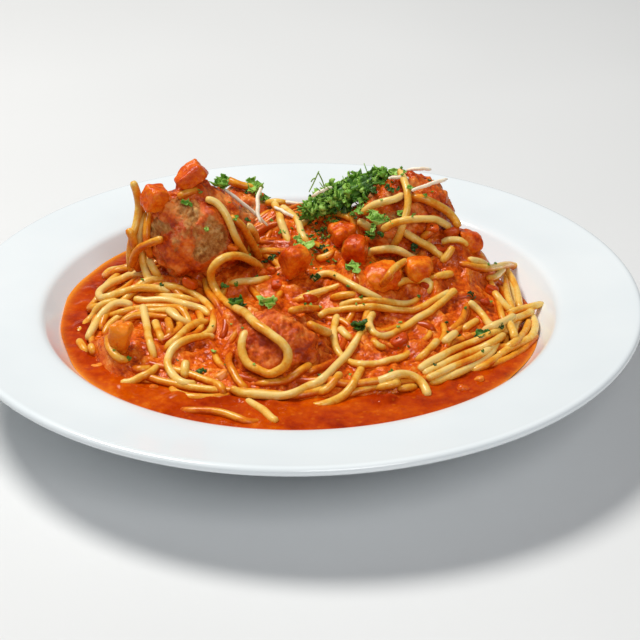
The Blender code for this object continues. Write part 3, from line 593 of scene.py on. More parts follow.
# ---------------------------------------------------------------- meshes


def grid_faces(rows, columns, ring_rows=False, ring_columns=False):
    """Quads between neighbouring lines of a grid of points. A ring joins its last line to its first."""
    i = np.arange(rows if ring_rows else rows - 1)
    j = np.arange(columns if ring_columns else columns - 1)
    a, b = (o.ravel() for o in np.meshgrid(i, j, indexing="ij"))
    c, d = (a + 1) % rows, (b + 1) % columns
    return np.stack([a * columns + b, c * columns + b, c * columns + d, a * columns + d], 1)


def fan_faces(middle, ring, flip=False):
    """Triangles from a middle point to each side of a ring of points."""
    ring = np.asarray(ring)
    after = np.roll(ring, -1)
    pair = (after, ring) if flip else (ring, after)
    return np.stack([np.full(len(ring), middle), *pair], 1)


def join(parts):
    """Several (points, quads, triangles, marks) as one, with their numbers moved on."""
    base, quads, tris = 0, [], []
    for points, quad, tri, _ in parts:
        quads.append(quad + base)
        tris.append(tri + base)
        base += len(points)
    marks = {key: np.concatenate([part[3][key] for part in parts]) for key in parts[0][3]}
    return np.concatenate([part[0] for part in parts]), np.concatenate(quads), np.concatenate(tris), marks


def border(rows, columns):
    """The numbers of a grid's outer points, once round."""
    number = np.arange(rows * columns).reshape(rows, columns)
    return np.concatenate([number[:-1, 0], number[-1, :-1], number[:0:-1, -1], number[0, :0:-1]])


def piece(name, shape, material, nodes=()):
    """Makes a mesh of (points, quads, triangles, marks) that rides on the dish and stands for its nodes."""
    points, quads, tris, marks = shape
    corners = np.concatenate([quads.ravel(), tris.ravel()]).astype(np.int32)
    starts = np.concatenate([np.arange(len(quads)) * 4, len(quads) * 4 + np.arange(len(tris)) * 3])
    mesh = bpy.data.meshes.new(name)
    mesh.vertices.add(len(points))
    mesh.vertices.foreach_set("co", np.ascontiguousarray(points, np.float32).ravel())
    mesh.loops.add(len(corners))
    mesh.loops.foreach_set("vertex_index", corners)
    mesh.polygons.add(len(starts))
    mesh.polygons.foreach_set("loop_start", starts.astype(np.int32))
    mesh.update(calc_edges=True)
    for key, values in marks.items():
        mark = mesh.attributes.new(key, "FLOAT", "POINT")
        mark.data.foreach_set("value", np.ascontiguousarray(values, np.float32))
    mesh.polygons.foreach_set("use_smooth", np.ones(len(starts), bool))
    mesh.materials.append(material)
    made = bpy.data.objects.new(name, mesh)
    bpy.context.scene.collection.objects.link(made)
    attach(made, "root")
    if nodes:
        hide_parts(*nodes)


def lathe(profile, steps):
    """A profile of (radius, height) pairs turned about Z, with its first and last points on the axis."""
    profile = np.asarray(profile, float)
    angle = np.linspace(0, 2 * math.pi, steps, endpoint=False)
    inner = profile[1:-1]
    x = inner[:, :1] * np.cos(angle)
    y = inner[:, :1] * np.sin(angle)
    z = np.repeat(inner[:, 1:], steps, 1)
    rings = np.stack([x, y, z], -1).reshape(-1, 3)
    points = np.vstack([rings, (0, 0, profile[0][1]), (0, 0, profile[-1][1])])
    quads = grid_faces(len(inner), steps, ring_columns=True)
    first = fan_faces(len(rings), np.arange(steps))
    last = fan_faces(len(rings) + 1, len(rings) - steps + np.arange(steps), flip=True)
    return points, quads, np.vstack([first, last]), {}


def tube(path, radius, sides, marks, squash=1.0):
    """A round section carried along a path, with a low dome at each end.

    The section's axes are the normal of the path's best-fit plane, made square to the path, and their cross
    product. The last section at each end is narrower, and the dome's tip lies just past it.
    """
    end_width, tip_reach = 0.72, 0.2
    count = len(path)
    tangent = np.gradient(path, axis=0)
    tangent /= np.linalg.norm(tangent, axis=1, keepdims=True)
    _, _, axes = np.linalg.svd(path - path.mean(0), full_matrices=False)
    side = axes[2] - tangent * (tangent @ axes[2])[:, None]
    side /= np.linalg.norm(side, axis=1, keepdims=True)
    other = np.cross(tangent, side)
    width = np.ones(count)
    width[[0, -1]] = end_width
    angle = np.linspace(0, 2 * math.pi, sides, endpoint=False)[:, None]
    section = np.cos(angle) * side[:, None] * squash + np.sin(angle) * other[:, None]
    rings = path[:, None] + (radius * width)[:, None, None] * section
    tips = [path[0] - tangent[0] * radius[0] * tip_reach, path[-1] + tangent[-1] * radius[-1] * tip_reach]
    points = np.vstack([rings.reshape(-1, 3), tips])
    quads = grid_faces(count, sides, ring_columns=True)[:, ::-1]
    first = fan_faces(count * sides, np.arange(sides), flip=True)
    last = fan_faces(count * sides + 1, (count - 1) * sides + np.arange(sides))
    all_marks = {key: np.concatenate([np.repeat(line, sides), line[[0, -1]]]) for key, line in marks.items()}
    return points, quads, np.vstack([first, last]), all_marks


# ---------------------------------------------------------------- materials


def colour(code):
    """An sRGB hex colour as linear light, with full cover."""
    channels = [int(code[i : i + 2], 16) / 255 for i in (1, 3, 5)]
    return (*(c / 12.92 if c <= 0.04045 else ((c + 0.055) / 1.055) ** 2.4 for c in channels), 1)


def feed(node, inputs):
    """Sets or links a node's inputs, by name or number."""
    for key, value in inputs.items():
        if isinstance(value, bpy.types.NodeSocket):
            node.id_data.links.new(value, node.inputs[key])
        else:
            node.inputs[key].default_value = value


def add(tree, kind, inputs=None, **settings):
    """Adds a node with these settings, and sets or links its inputs."""
    node = tree.nodes.new(kind)
    for key, value in settings.items():
        setattr(node, key, value)
    feed(node, inputs or {})
    return node


def new_material(name):
    """A material with its node tree, its shader, and the place on the object in metres."""
    made = bpy.data.materials.new(name)
    made.use_nodes = True
    tree = made.node_tree
    shader = tree.nodes["Principled BSDF"]
    place = add(tree, "ShaderNodeTexCoord").outputs["Object"]
    return made, tree, shader, place


def ramp(tree, value, stops):
    """Colours along a value: pairs of (position, hex)."""
    node = add(tree, "ShaderNodeValToRGB", {"Fac": value})
    bar = node.color_ramp.elements
    while len(bar) < len(stops):
        bar.new(0.5)
    for mark, (position, code) in zip(bar, stops):
        mark.position = position
        mark.color = colour(code)
    return node.outputs["Color"]


def mixed(tree, share, first, second):
    """Two colours mixed by a share."""
    return add(tree, "ShaderNodeMix", {0: share, 6: first, 7: second}, data_type="RGBA").outputs[2]


def maths(tree, kind, first, second, third=None, clamp=False):
    """The result of a sum, a product or the like of two or three values."""
    inputs = {0: first, 1: second}
    if third is not None:
        inputs[2] = third
    return add(tree, "ShaderNodeMath", inputs, operation=kind, use_clamp=clamp).outputs[0]


def bumped(tree, shader, height, depth, strength):
    """Makes the surface look uneven by a height, that deep in metres."""
    node = add(tree, "ShaderNodeBump", {"Height": height, "Distance": depth, "Strength": strength})
    set_shader(shader, Normal=node.outputs[0])


def noise(tree, place, size, detail=3.0, rough=0.55, warp=0.0):
    """Noise whose blotches are about that many metres across."""
    inputs = {"Vector": place, "Scale": 1 / size, "Detail": detail, "Roughness": rough, "Distortion": warp}
    return add(tree, "ShaderNodeTexNoise", inputs).outputs["Fac"]


def set_shader(shader, **inputs):
    """Sets or links the shader's sockets, named with underscores for spaces."""
    feed(shader, {key.replace("_", " "): value for key, value in inputs.items()})


def attribute(tree, name):
    """A value that the mesh carries at each point."""
    return add(tree, "ShaderNodeAttribute", attribute_name=name).outputs["Fac"]


def away(tree, value, amount):
    """How far a noise lies from its middle, times an amount."""
    return maths(tree, "MULTIPLY", maths(tree, "SUBTRACT", value, 0.5), amount)


def glazed_porcelain():
    """White porcelain dipped in clear glaze and fired: an even gloss, faintly cool, a trace of waviness."""
    made, tree, shader, place = new_material("white_glazed_porcelain")
    tone = ramp(tree, noise(tree, place, 0.05, 2), ((0.3, "#E3EAEE"), (0.7, "#E9EFF2")))
    set_shader(shader, Base_Color=tone, Roughness=0.16, IOR=1.5, Coat_Weight=0.4, Coat_Roughness=0.06)
    bumped(tree, shader, noise(tree, place, 0.012, 2), 0.0002, 0.15)
    return made


def sauce_coat():
    """Tomato sauce cooked down on the pasta: wet and pulpy, with painted shade in dips and painted highlight
    on lumps.
    """
    made, tree, shader, place = new_material("reduced_tomato_sauce")
    thickness = attribute(tree, "thickness")
    broad = away(tree, noise(tree, place, 0.010, 3), 0.9)
    fine = away(tree, noise(tree, place, 0.0017, 4, 0.7), 1.25)
    # Painted highlight and painted shade: the relief makes lumps lighter orange and dips darker red.
    value = maths(tree, "MULTIPLY_ADD", attribute(tree, "relief"), 0.13, maths(tree, "ADD", broad, fine))
    # Thicker sauce is deeper red. Past a thickness of about 1.06 the tone goes towards dark red, which paints
    # shade in the pockets under the left ball and inside the bend
    value = maths(tree, "MULTIPLY_ADD", thickness, -0.16, maths(tree, "ADD", value, 0.58))
    stops = ((0.05, "#7C2200"), (0.28, "#B44006"), (0.5, "#D65A0A"), (0.74, "#E67E26"), (1.0, "#F2AC62"))
    deep = maths(tree, "MULTIPLY_ADD", thickness, 1.6, -1.7, clamp=True)
    tone = mixed(tree, deep, ramp(tree, value, stops), colour("#8E2602"))
    set_shader(shader, Base_Color=tone, Roughness=0.12, IOR=1.36, Specular_IOR_Level=0.32)
    set_shader(shader, Subsurface_Weight=0.05, Subsurface_Scale=0.0012, Subsurface_Radius=(1.0, 0.25, 0.03))
    bumped(tree, shader, noise(tree, place, 0.0016, 2.5, 0.5), 0.0008, 0.75)
    return made


def tomato_pulp():
    """Soft bits of tomato in the sauce: wet, each of its own red or orange."""
    made, tree, shader, place = new_material("cooked_tomato_pulp")
    value = maths(tree, "ADD", attribute(tree, "tint"), away(tree, noise(tree, place, 0.002, 3), 0.6))
    tone = ramp(tree, value, ((0.1, "#A62E00"), (0.45, "#CA4A04"), (0.8, "#DC6C14"), (1.0, "#E88C30")))
    set_shader(shader, Base_Color=tone, Roughness=0.24, IOR=1.38, Specular_IOR_Level=0.45)
    set_shader(shader, Subsurface_Weight=0.15, Subsurface_Scale=0.0012, Subsurface_Radius=(1.0, 0.35, 0.08))
    bumped(tree, shader, noise(tree, place, 0.001, 3), 0.0004, 0.5)
    return made


def thin_sauce():
    """The loose, oily sauce that settles in the well: smooth, wet, orange-red, paler along the shore."""
    made, tree, shader, place = new_material("thin_oily_tomato_sauce")
    broad = noise(tree, place, 0.020, 4, 0.55, 0.5)
    value = maths(tree, "ADD", broad, away(tree, noise(tree, place, 0.0035, 3, 0.6), 0.45))
    tone = ramp(tree, value, ((0.28, "#8C1E00"), (0.46, "#AC3400"), (0.62, "#C24A00"), (0.80, "#DC7412")))
    drops = add(tree, "ShaderNodeTexVoronoi", {"Vector": place, "Scale": 1 / 0.004, "Randomness": 1.0})
    ring = ramp(tree, drops.outputs["Distance"], ((0.14, "#FFFFFF"), (0.24, "#000000")))
    tone = mixed(tree, maths(tree, "MULTIPLY", ring, 0.22), tone, colour("#E07A18"))
    tone = mixed(tree, attribute(tree, "shore"), tone, colour("#E88A28"))
    set_shader(shader, Base_Color=tone, Roughness=0.06, IOR=1.33, Specular_IOR_Level=0.22)
    set_shader(shader, Subsurface_Weight=0.06, Subsurface_Scale=0.002, Subsurface_Radius=(1.0, 0.3, 0.05))
    bumped(tree, shader, noise(tree, place, 0.006, 3), 0.0011, 0.65)
    return made


def cooked_pasta():
    """Durum wheat spaghetti, boiled: smooth, moist, pale yellow, a little see-through, stained."""
    made, tree, shader, place = new_material("boiled_durum_pasta")
    patch = away(tree, noise(tree, place, 0.006, 3, 0.6), 0.85)
    fine = away(tree, noise(tree, place, 0.0013, 3, 0.65), 0.6)
    # The stain value also carries the painted reflection of the sauce on the strands' lower flanks.
    value = maths(tree, "ADD", maths(tree, "ADD", patch, fine), attribute(tree, "stain"))
    stops = ((0.0, "#EBC878"), (0.22, "#E8B651"), (0.48, "#E09424"), (0.75, "#D2680A"), (1.0, "#B84200"))
    tone = ramp(tree, value, stops)
    set_shader(shader, Base_Color=tone, Roughness=0.24, IOR=1.38, Specular_IOR_Level=0.45)
    set_shader(shader, Subsurface_Weight=0.12, Subsurface_Scale=0.0012, Subsurface_Radius=(1.0, 0.55, 0.15))
    bumped(tree, shader, noise(tree, place, 0.0016, 3), 0.0003, 0.4)
    return made


def browned_meat():
    """Minced meat rolled and fried: brown with paler and darker crumbs and herbs, painted shade in the
    crevices, under patches of sauce.
    """
    made, tree, shader, place = new_material("fried_minced_meat")
    sauce = attribute(tree, "sauce")
    coarse = away(tree, noise(tree, place, 0.005, 3), 0.9)
    value = maths(tree, "ADD", noise(tree, place, 0.0019, 5, 0.8), coarse)
    value = maths(tree, "MULTIPLY_ADD", attribute(tree, "own"), 0.10, value)
    stops = ((0.30, "#824C16"), (0.42, "#C08640"), (0.52, "#DEA95E"), (0.62, "#F0CC8A"), (0.74, "#AC9A48"))
    film = maths(tree, "MULTIPLY", maths(tree, "ADD", sauce, 0.3, clamp=True), 0.7)
    crumb = mixed(tree, film, ramp(tree, value, stops), colour("#D06E1E"))
    # Painted shade: the gaps between crumbs are mixed towards a dark red-brown.
    painted_crevice_shade = maths(tree, "MULTIPLY", attribute(tree, "painted_crevice_shade"), 0.35)
    crumb = mixed(tree, painted_crevice_shade, crumb, colour("#8A3608"))
    value = maths(tree, "ADD", away(tree, noise(tree, place, 0.007, 3), 1.7), 0.5)
    value = maths(tree, "ADD", value, away(tree, noise(tree, place, 0.0018, 3), 0.8))
    red = ramp(tree, value, ((0.2, "#9C2C00"), (0.42, "#C44A08"), (0.6, "#DA6416"), (0.85, "#EC8C40")))
    ragged = maths(tree, "ADD", sauce, away(tree, noise(tree, place, 0.0024, 4, 0.65), 0.9))
    cover = ramp(tree, ragged, ((0.40, "#000000"), (0.62, "#FFFFFF")))
    gloss = maths(tree, "MULTIPLY_ADD", cover, -0.28, 0.46)
    tone = mixed(tree, cover, crumb, red)
    set_shader(shader, Base_Color=tone, Roughness=gloss, IOR=1.4, Specular_IOR_Level=0.36)
    set_shader(shader, Subsurface_Weight=0.08, Subsurface_Scale=0.001, Subsurface_Radius=(1.0, 0.4, 0.15))
    relief = maths(tree, "MULTIPLY_ADD", cover, -0.5, 0.9)
    bumped(tree, shader, noise(tree, place, 0.0014, 5, 0.75), 0.0012, relief)
    return made


def stewed_tomato():
    """Diced tomato stewed in the sauce: soft, wet, red-orange flesh, yellower where it was cut."""
    made, tree, shader, place = new_material("stewed_tomato_flesh")
    broad = noise(tree, place, 0.006, 3, 0.5, 0.3)
    value = maths(tree, "ADD", broad, away(tree, noise(tree, place, 0.0016, 4, 0.65), 0.7))
    value = maths(tree, "MULTIPLY_ADD", attribute(tree, "tint"), 0.5, value)
    tone = ramp(tree, value, ((0.22, "#A82C00"), (0.42, "#CC4802"), (0.58, "#DE600A"), (0.8, "#EE861A")))
    set_shader(shader, Base_Color=tone, Roughness=0.26, IOR=1.38, Specular_IOR_Level=0.38)
    set_shader(shader, Subsurface_Weight=0.2, Subsurface_Scale=0.002, Subsurface_Radius=(1.0, 0.35, 0.08))
    bumped(tree, shader, noise(tree, place, 0.0020, 4, 0.6), 0.0007, 0.6)
    return made


def chopped_parsley():
    """Fresh parsley, chopped: thin, crisp, bright to deep green with a faint waxy sheen."""
    made, tree, shader, place = new_material("fresh_parsley_leaf")
    value = maths(tree, "ADD", noise(tree, place, 0.003, 3), away(tree, attribute(tree, "tint"), 0.8))
    tone = ramp(tree, value, ((0.10, "#24420E"), (0.32, "#41701A"), (0.56, "#6A9A2C"), (0.88, "#A0C85C")))
    tone = mixed(tree, maths(tree, "MULTIPLY", attribute(tree, "vein"), 0.35), tone, colour("#9BBE6A"))
    set_shader(shader, Base_Color=tone, Roughness=0.42, IOR=1.45, Specular_IOR_Level=0.35)
    set_shader(shader, Subsurface_Weight=0.15, Subsurface_Scale=0.0008, Subsurface_Radius=(0.5, 1.0, 0.2))
    bumped(tree, shader, noise(tree, place, 0.0012, 2), 0.0003, 0.4)
    return made


def grated_cheese():
    """Hard cheese grated into shreds: pale, faintly waxy, a little ragged."""
    made, tree, shader, place = new_material("grated_hard_cheese")
    tone = ramp(tree, noise(tree, place, 0.003, 3), ((0.3, "#F2DDBE"), (0.7, "#FBF1DF")))
    set_shader(shader, Base_Color=tone, Roughness=0.45, IOR=1.45, Specular_IOR_Level=0.4)
    set_shader(shader, Subsurface_Weight=0.25, Subsurface_Scale=0.0012, Subsurface_Radius=(1.0, 0.8, 0.6))
    bumped(tree, shader, noise(tree, place, 0.001, 3), 0.0003, 0.5)
    return made


def matt_card():
    """Pale matt card under the plate: dull, with hardly any unevenness of tone."""
    made, tree, shader, place = new_material("matt_card")
    tone = ramp(tree, noise(tree, place, 0.3, 2), ((0.3, "#D9DADB"), (0.7, "#DEDFE0")))
    set_shader(shader, Base_Color=tone, Roughness=0.8)
    return made


# ---------------------------------------------------------------- plate and pool


def wall_radius(height):
    """The well's wall: its radius grows with the 0.65th power of the share of its height."""
    share = (height - FLOOR_HEIGHT) / (BREAK_HEIGHT - FLOOR_HEIGHT)
    return FLOOR_RADIUS + (BREAK_RADIUS - FLOOR_RADIUS) * share**0.65


def softened(points, passes):
    """A profile with a point midway on each span, its corners eased by averaging, and its two ends kept."""
    points = np.asarray(points, float)
    for _ in range(passes):
        first = 0.75 * points[:-1] + 0.25 * points[1:]
        second = 0.25 * points[:-1] + 0.75 * points[1:]
        cut = np.stack([first, second], 1).reshape(-1, 2)
        points = np.vstack([points[:1], cut[1:-1], points[-1:]])
    return points


def make_plate(material):
    """The plate: a profile from its floor's middle out over wall and rim, then back under to the foot."""
    shares = np.linspace(0, 1, 12)[:-1]
    heights = FLOOR_HEIGHT + shares**1.4 * (BREAK_HEIGHT - FLOOR_HEIGHT)
    floor = [(0, FLOOR_HEIGHT), (FLOOR_RADIUS * 0.6, FLOOR_HEIGHT)]
    wall = list(zip(wall_radius(heights), heights))
    shoulder = [
        (BREAK_RADIUS - 0.0002, BREAK_HEIGHT - 0.0003),
        (BREAK_RADIUS + 0.0035, BREAK_HEIGHT + 0.0006),
        (0.5 * (BREAK_RADIUS + RIM_RADIUS), BREAK_HEIGHT + 0.45 * (RIM_HEIGHT - BREAK_HEIGHT)),
    ]
    edge = [
        (RIM_RADIUS - 0.004, RIM_HEIGHT - 0.0003),
        (RIM_RADIUS - 0.0012, RIM_HEIGHT + 0.0002),
        (RIM_RADIUS + 0.0002, RIM_HEIGHT - 0.0008),
        (RIM_RADIUS + 0.0002, RIM_HEIGHT - RIM_THICKNESS * 0.7),
        (RIM_RADIUS - 0.0016, RIM_HEIGHT - RIM_THICKNESS),
    ]
    below = BREAK_HEIGHT - WALL
    under = [(BREAK_RADIUS + 0.006, below + 0.0004), (BREAK_RADIUS + 0.002, below)]
    under += [(wall_radius(h) + WALL * 0.7, h - WALL * 0.8) for h in (0.029, 0.024, 0.019, 0.015)]
    foot_outside = FOOT_RADIUS + FOOT_WIDTH
    foot = [
        (foot_outside + 0.003, FLOOR_HEIGHT - WALL),
        (foot_outside + 0.0012, 0.0022),
        (foot_outside, 0),
        (foot_outside, 0),
        (FOOT_RADIUS, 0),
        (FOOT_RADIUS, 0),
        (FOOT_RADIUS - 0.002, FOOT_RISE),
        (FOOT_RADIUS - 0.006, FOOT_RISE),
        (0, FOOT_RISE),
    ]
    profile = softened(floor + wall + shoulder + edge + under + foot, 2)
    piece("porcelain_plate", lathe(profile, 240), material, ["plate"])


def make_pool(material, edge_map):
    """The sauce in the well: a slab down to the plate's floor, its top level and faintly waved.

    It climbs a little where it meets the wall and the heap, and falls away at the right and back.
    """
    shore = float(wall_radius(np.array(SAUCE_LEVEL)))
    angles, rings, inner = 400, 90, 0.42
    share = np.linspace(inner, 1, rings) ** 0.8
    share = (share - share[0]) / (1 - share[0]) * (1 - inner) + inner
    angle = np.linspace(0, 2 * math.pi, angles, endpoint=False)
    radius = share[:, None] * (shore + 0.0004) + 0 * angle
    wander = 0.0007 * np.sin(3 * angle + 1) + 0.0005 * np.sin(7 * angle) + 0.0003 * np.sin(17 * angle + 2)
    radius = radius + wander * ease(share, 0.9, 1)[:, None]
    x, y = radius * np.cos(angle), radius * np.sin(angle)
    wave = 0.00018 * read(mottle(0.004, 21), x, y) + 0.0001 * read(mottle(0.0018, 22), x, y)
    climb = 0.0004 * np.exp(-(shore - radius) / 0.0012)
    top = SAUCE_LEVEL + wave * (1 - ease(share, 0.93, 1))[:, None] + climb
    top = np.maximum(top, read(edge_map, x, y))
    turn = (angle - POOL_FALL_TURN + math.pi) % (2 * math.pi) - math.pi
    falling = ease(share, POOL_FALL_START, 1.0)[:, None] * np.exp(-((turn / POOL_FALL_WIDTH) ** 4))
    top = top - POOL_FALL * falling
    bottom = FLOOR_HEIGHT + 0.0003
    height = SAUCE_LEVEL + (bottom - SAUCE_LEVEL) * np.linspace(0, 1, 8)[1:]
    side = (wall_radius(height) + 0.0003)[:, None] + 0 * angle
    flank = np.stack([side * np.cos(angle), side * np.sin(angle), height[:, None] + 0 * angle], -1)
    rows = np.concatenate([np.stack([x, y, top], -1), flank])
    points = np.vstack([rows.reshape(-1, 3), (0, 0, SAUCE_LEVEL), (0, 0, bottom)])
    count = len(rows)
    quads = grid_faces(count, angles, ring_columns=True)
    middle = fan_faces(count * angles, np.arange(angles))
    base = fan_faces(count * angles + 1, (count - 1) * angles + np.arange(angles), flip=True)
    near = np.exp(-np.clip(shore - radius, 0, 1) / 0.0011)
    marks = {"shore": np.concatenate([near.ravel(), np.ones(len(height) * angles), (0, 1)])}
    shape = (points, quads, np.vstack([middle, base]), marks)
    piece("sauce_in_well", shape, material, ["sauce_pool"])


# ---------------------------------------------------------------- strands


class Pile:
    """Height of all that is laid so far, over the plan. A strand covers a round of cells at each point."""

    def __init__(self, height):
        self.height = height
        reach = math.ceil(STRAND_RADIUS / MAP_CELL)
        offsets = np.arange(-reach, reach + 1)
        i, j = (o.ravel() for o in np.meshgrid(offsets, offsets, indexing="ij"))
        near = (i**2 + j**2) * MAP_CELL**2 < STRAND_RADIUS**2
        self.i, self.j = i[near], j[near]
        self.dome = np.sqrt(STRAND_RADIUS**2 - (self.i**2 + self.j**2) * MAP_CELL**2)

    def cells(self, x, y):
        """The cells that a strand covers at each of these points."""
        most = len(AXIS) - 1
        i = np.rint((x + MAP_HALF) / MAP_CELL).astype(int)[:, None] + self.i
        j = np.rint((y + MAP_HALF) / MAP_CELL).astype(int)[:, None] + self.j
        return np.clip(i, 0, most), np.clip(j, 0, most)

    def stamp(self, path):
        """Raises the pile to the top of a strand."""
        i, j = self.cells(path[:, 0], path[:, 1])
        np.maximum.at(self.height, (i, j), path[:, 2:] + self.dome)

    def lay(self, route):
        """Heights of a limp strand's middle line on a route: it rests on what is highest, and spans gaps."""
        i, j = self.cells(route[:, 0], route[:, 1])
        rest = (self.height[i, j] + self.dome).max(1) - PRESSED_IN * STRAND_RADIUS
        line = rest.copy()
        for _ in range(FILLER_STIFFNESS):
            line = np.maximum(rest, eased(line))
        return eased(eased(line))


def eased(line):
    """Each value averaged with its two neighbours, the middle one twice. The ends keep theirs."""
    padded = np.concatenate([line[:1], line, line[-1:]])
    return 0.25 * padded[:-2] + 0.5 * padded[1:-1] + 0.25 * padded[2:]


def filler_routes(count, seed, sector):
    """Plan routes that wander: each turns by a slowly changing amount, and near the heap's edge follows it.

    They start within a sector of the plan, given by its first and last angle.
    """
    draw = np.random.default_rng(seed)
    fewest, steps = FILLER_LENGTHS
    angle = draw.uniform(*sector, count)
    share = np.sqrt(draw.uniform(0.0, 0.97, count))
    x, y = heap_point(angle, share)
    heading = draw.uniform(0, 2 * math.pi, count)
    sense = draw.choice([-1, 1], count)
    curl = draw.normal(0, 9, count)
    routes = np.zeros((count, steps, 2))
    for step in range(steps):
        routes[:, step] = np.stack([x, y], 1)
        out = heap_share(x, y)
        off_x, off_y = (x - HEAP_MIDDLE[0]) / HEAP_HALF[0] ** 2, (y - HEAP_MIDDLE[1]) / HEAP_HALF[1] ** 2
        along = np.arctan2(off_y, off_x) + sense * (math.pi / 2 + ease(out, 0.90, 1.02))
        pull = 0.02 + 0.40 * ease(out, 0.80, 1.0)
        for whorl_x, whorl_y, reach in WHORLS:
            near = np.exp(-((x - whorl_x) ** 2 + (y - whorl_y) ** 2) / reach**2) * (out < 0.8)
            round_it = np.arctan2(y - whorl_y, x - whorl_x) + sense * math.pi / 2
            along = np.where(near > 0.3, round_it, along)
            pull = pull + 0.45 * near
        curl = 0.94 * curl + draw.normal(0, 4.5, count)
        bend = curl * FILLER_STEP * (1 - 0.8 * ease(out, 0.8, 1))
        heading = heading + bend + pull * np.sin(along - heading)
        x = x + FILLER_STEP * np.cos(heading)
        y = y + FILLER_STEP * np.sin(heading)
    lengths = draw.integers(fewest, steps + 1, count)
    return [route[:length] for route, length in zip(routes, lengths)]


def lay_fillers(pile, bed):
    """Lays routes one by one where they cover bare bed and don't build up past the bed's own height."""
    laid = []
    all_round = filler_routes(FILLER_TRIES, 40, (0, 2 * math.pi))
    at_the_back = filler_routes(FILLER_TRIES // 2, 43, (0.05 * math.pi, 0.95 * math.pi))
    for route in all_round + at_the_back:
        most_high, rise, least_bare = BACK_LIMITS if route[:, 1].mean() > BACK_START else FRONT_LIMITS
        height = pile.lay(route)
        level = read(bed, route[:, 0], route[:, 1])
        over = height + STRAND_RADIUS - level
        on_heap, high = heap_share(route[:, 0], route[:, 1]) < ON_HEAP, over > FILLER_RISE
        if on_heap.mean() < LEAST_ON_HEAP or high.mean() > most_high or over.max() > FILLER_RISE + rise:
            continue
        bare = read(pile.height, route[:, 0], route[:, 1]) < level - BARE_DEPTH
        if bare.mean() < least_bare:
            continue
        path = np.column_stack([route, height - FILLER_DIVE * dips(len(route), FILLER_STEP, 0)])
        pile.stamp(path)
        laid.append(path)
    return laid


def smooth_curve(stations, step):
    """Even points along a curve through its stations: a cubic on each span, sloped by its neighbours."""
    stations = np.asarray(stations, float)
    ends = np.vstack([2 * stations[0] - stations[1], stations, 2 * stations[-1] - stations[-2]])
    t = np.linspace(0, 1, 16, endpoint=False)[:, None]
    fine = []
    for before, start, end, after in zip(ends, ends[1:], ends[2:], ends[3:]):
        bend = (end - before) * t + (2 * before - 5 * start + 4 * end - after) * t**2
        fine.append(start + 0.5 * (bend + (3 * start - before - 3 * end + after) * t**3))
    return evened(np.vstack([*fine, stations[-1:]]), step)


def evened(fine, step):
    """A line's points spaced evenly along it."""
    along = np.concatenate([[0], np.cumsum(np.linalg.norm(np.diff(fine, axis=0), axis=1))])
    spots = np.linspace(0, along[-1], max(4, round(along[-1] / step) + 1))
    return np.column_stack([np.interp(spots, along, column) for column in fine.T])


def with_balls(terrain):
    """The height map with the meatballs on it, just proud of their tops."""
    x, y = plan()
    for ball_x, ball_y, ball_z, radius, _ in MEATBALLS.values():
        room = (radius + CLEAR) ** 2 - (x - ball_x) ** 2 - (y - ball_y) ** 2
        terrain = np.where(room > 0, np.maximum(terrain, ball_z + np.sqrt(np.maximum(room, 0))), terrain)
    return terrain


def distance_to_pile(way, terrain):
    """How far along each ray from the eye the pile or a meatball comes first, with room for a strand.

    A ray that would pass over the heap stops where it comes closest to it.
    """
    spots = EYE + way[:, None] * SIGHT[:, None]
    over = spots[..., 2] - read(with_balls(terrain), spots[..., 0], spots[..., 1])
    first = np.maximum((over < 0).argmax(1), 1)
    row = np.arange(len(way))
    before, after = over[row, first - 1], over[row, first]
    share = np.clip(before / np.maximum(before - after, 1e-9), 0, 1)
    found = SIGHT[first - 1] + share * (SIGHT[1] - SIGHT[0])
    past = spots[row, first, 1] > HEAP_BACK
    closest = np.where(spots[..., 1] < HEAP_BACK, over, FAR_OFF).argmin(1)
    found = np.where(past, SIGHT[closest], found)
    for x, y, z, radius, _ in MEATBALLS.values():
        middle = np.array((x, y, z)) - EYE
        toward = way @ middle
        inside = toward**2 - middle @ middle + (radius + STRAND_RADIUS + CLEAR) ** 2
        touch = np.where(inside > 0, toward - np.sqrt(np.maximum(inside, 0)), FAR_OFF)
        found = np.minimum(found, touch)
    return found


def distance_to_sheet(way):
    """How far along each ray the upright sheet of the standing strands comes."""
    gap = STANDING_START + STANDING_LEAN * EYE[2] - EYE[1]
    return gap / (way[:, 1] - STANDING_LEAN * way[:, 2])


def dips(count, step, shown):
    """How far a strand has gone under along its length, 0 to 1: it dives at each end that doesn't show."""
    along = np.arange(count) * step
    reach = min(0.0035, 0.16 * along[-1])
    first = np.exp(-along / reach) * (0 if shown & 1 else 1)
    last = np.exp(-along[::-1] / reach) * (0 if shown & 2 else 1)
    return first + last


def traced_path(stations, shown, terrain, standing=False):
    """A strand seen in the photograph: the pile cuts its rays, and it spans hollows towards the eye."""
    lifted = [(*station, 0)[:3] for station in stations]
    fine = smooth_curve(lifted, TRACED_PIXELS)
    way = rays(fine[:, :2])
    most = distance_to_pile(way, terrain) - fine[:, 2] / 1000 - TRACED_LIFT
    if standing:
        most = np.minimum(most, distance_to_sheet(way))
    line = most.copy()
    for _ in range(TRACED_STIFFNESS):
        line = np.minimum(most, eased(line))
    line = eased(eased(line)) + TRACED_DIVE * dips(len(line), TRACED_PIXELS / PIXELS_PER_METRE, shown)
    return evened(EYE + way * line[:, None], TRACED_STEP)


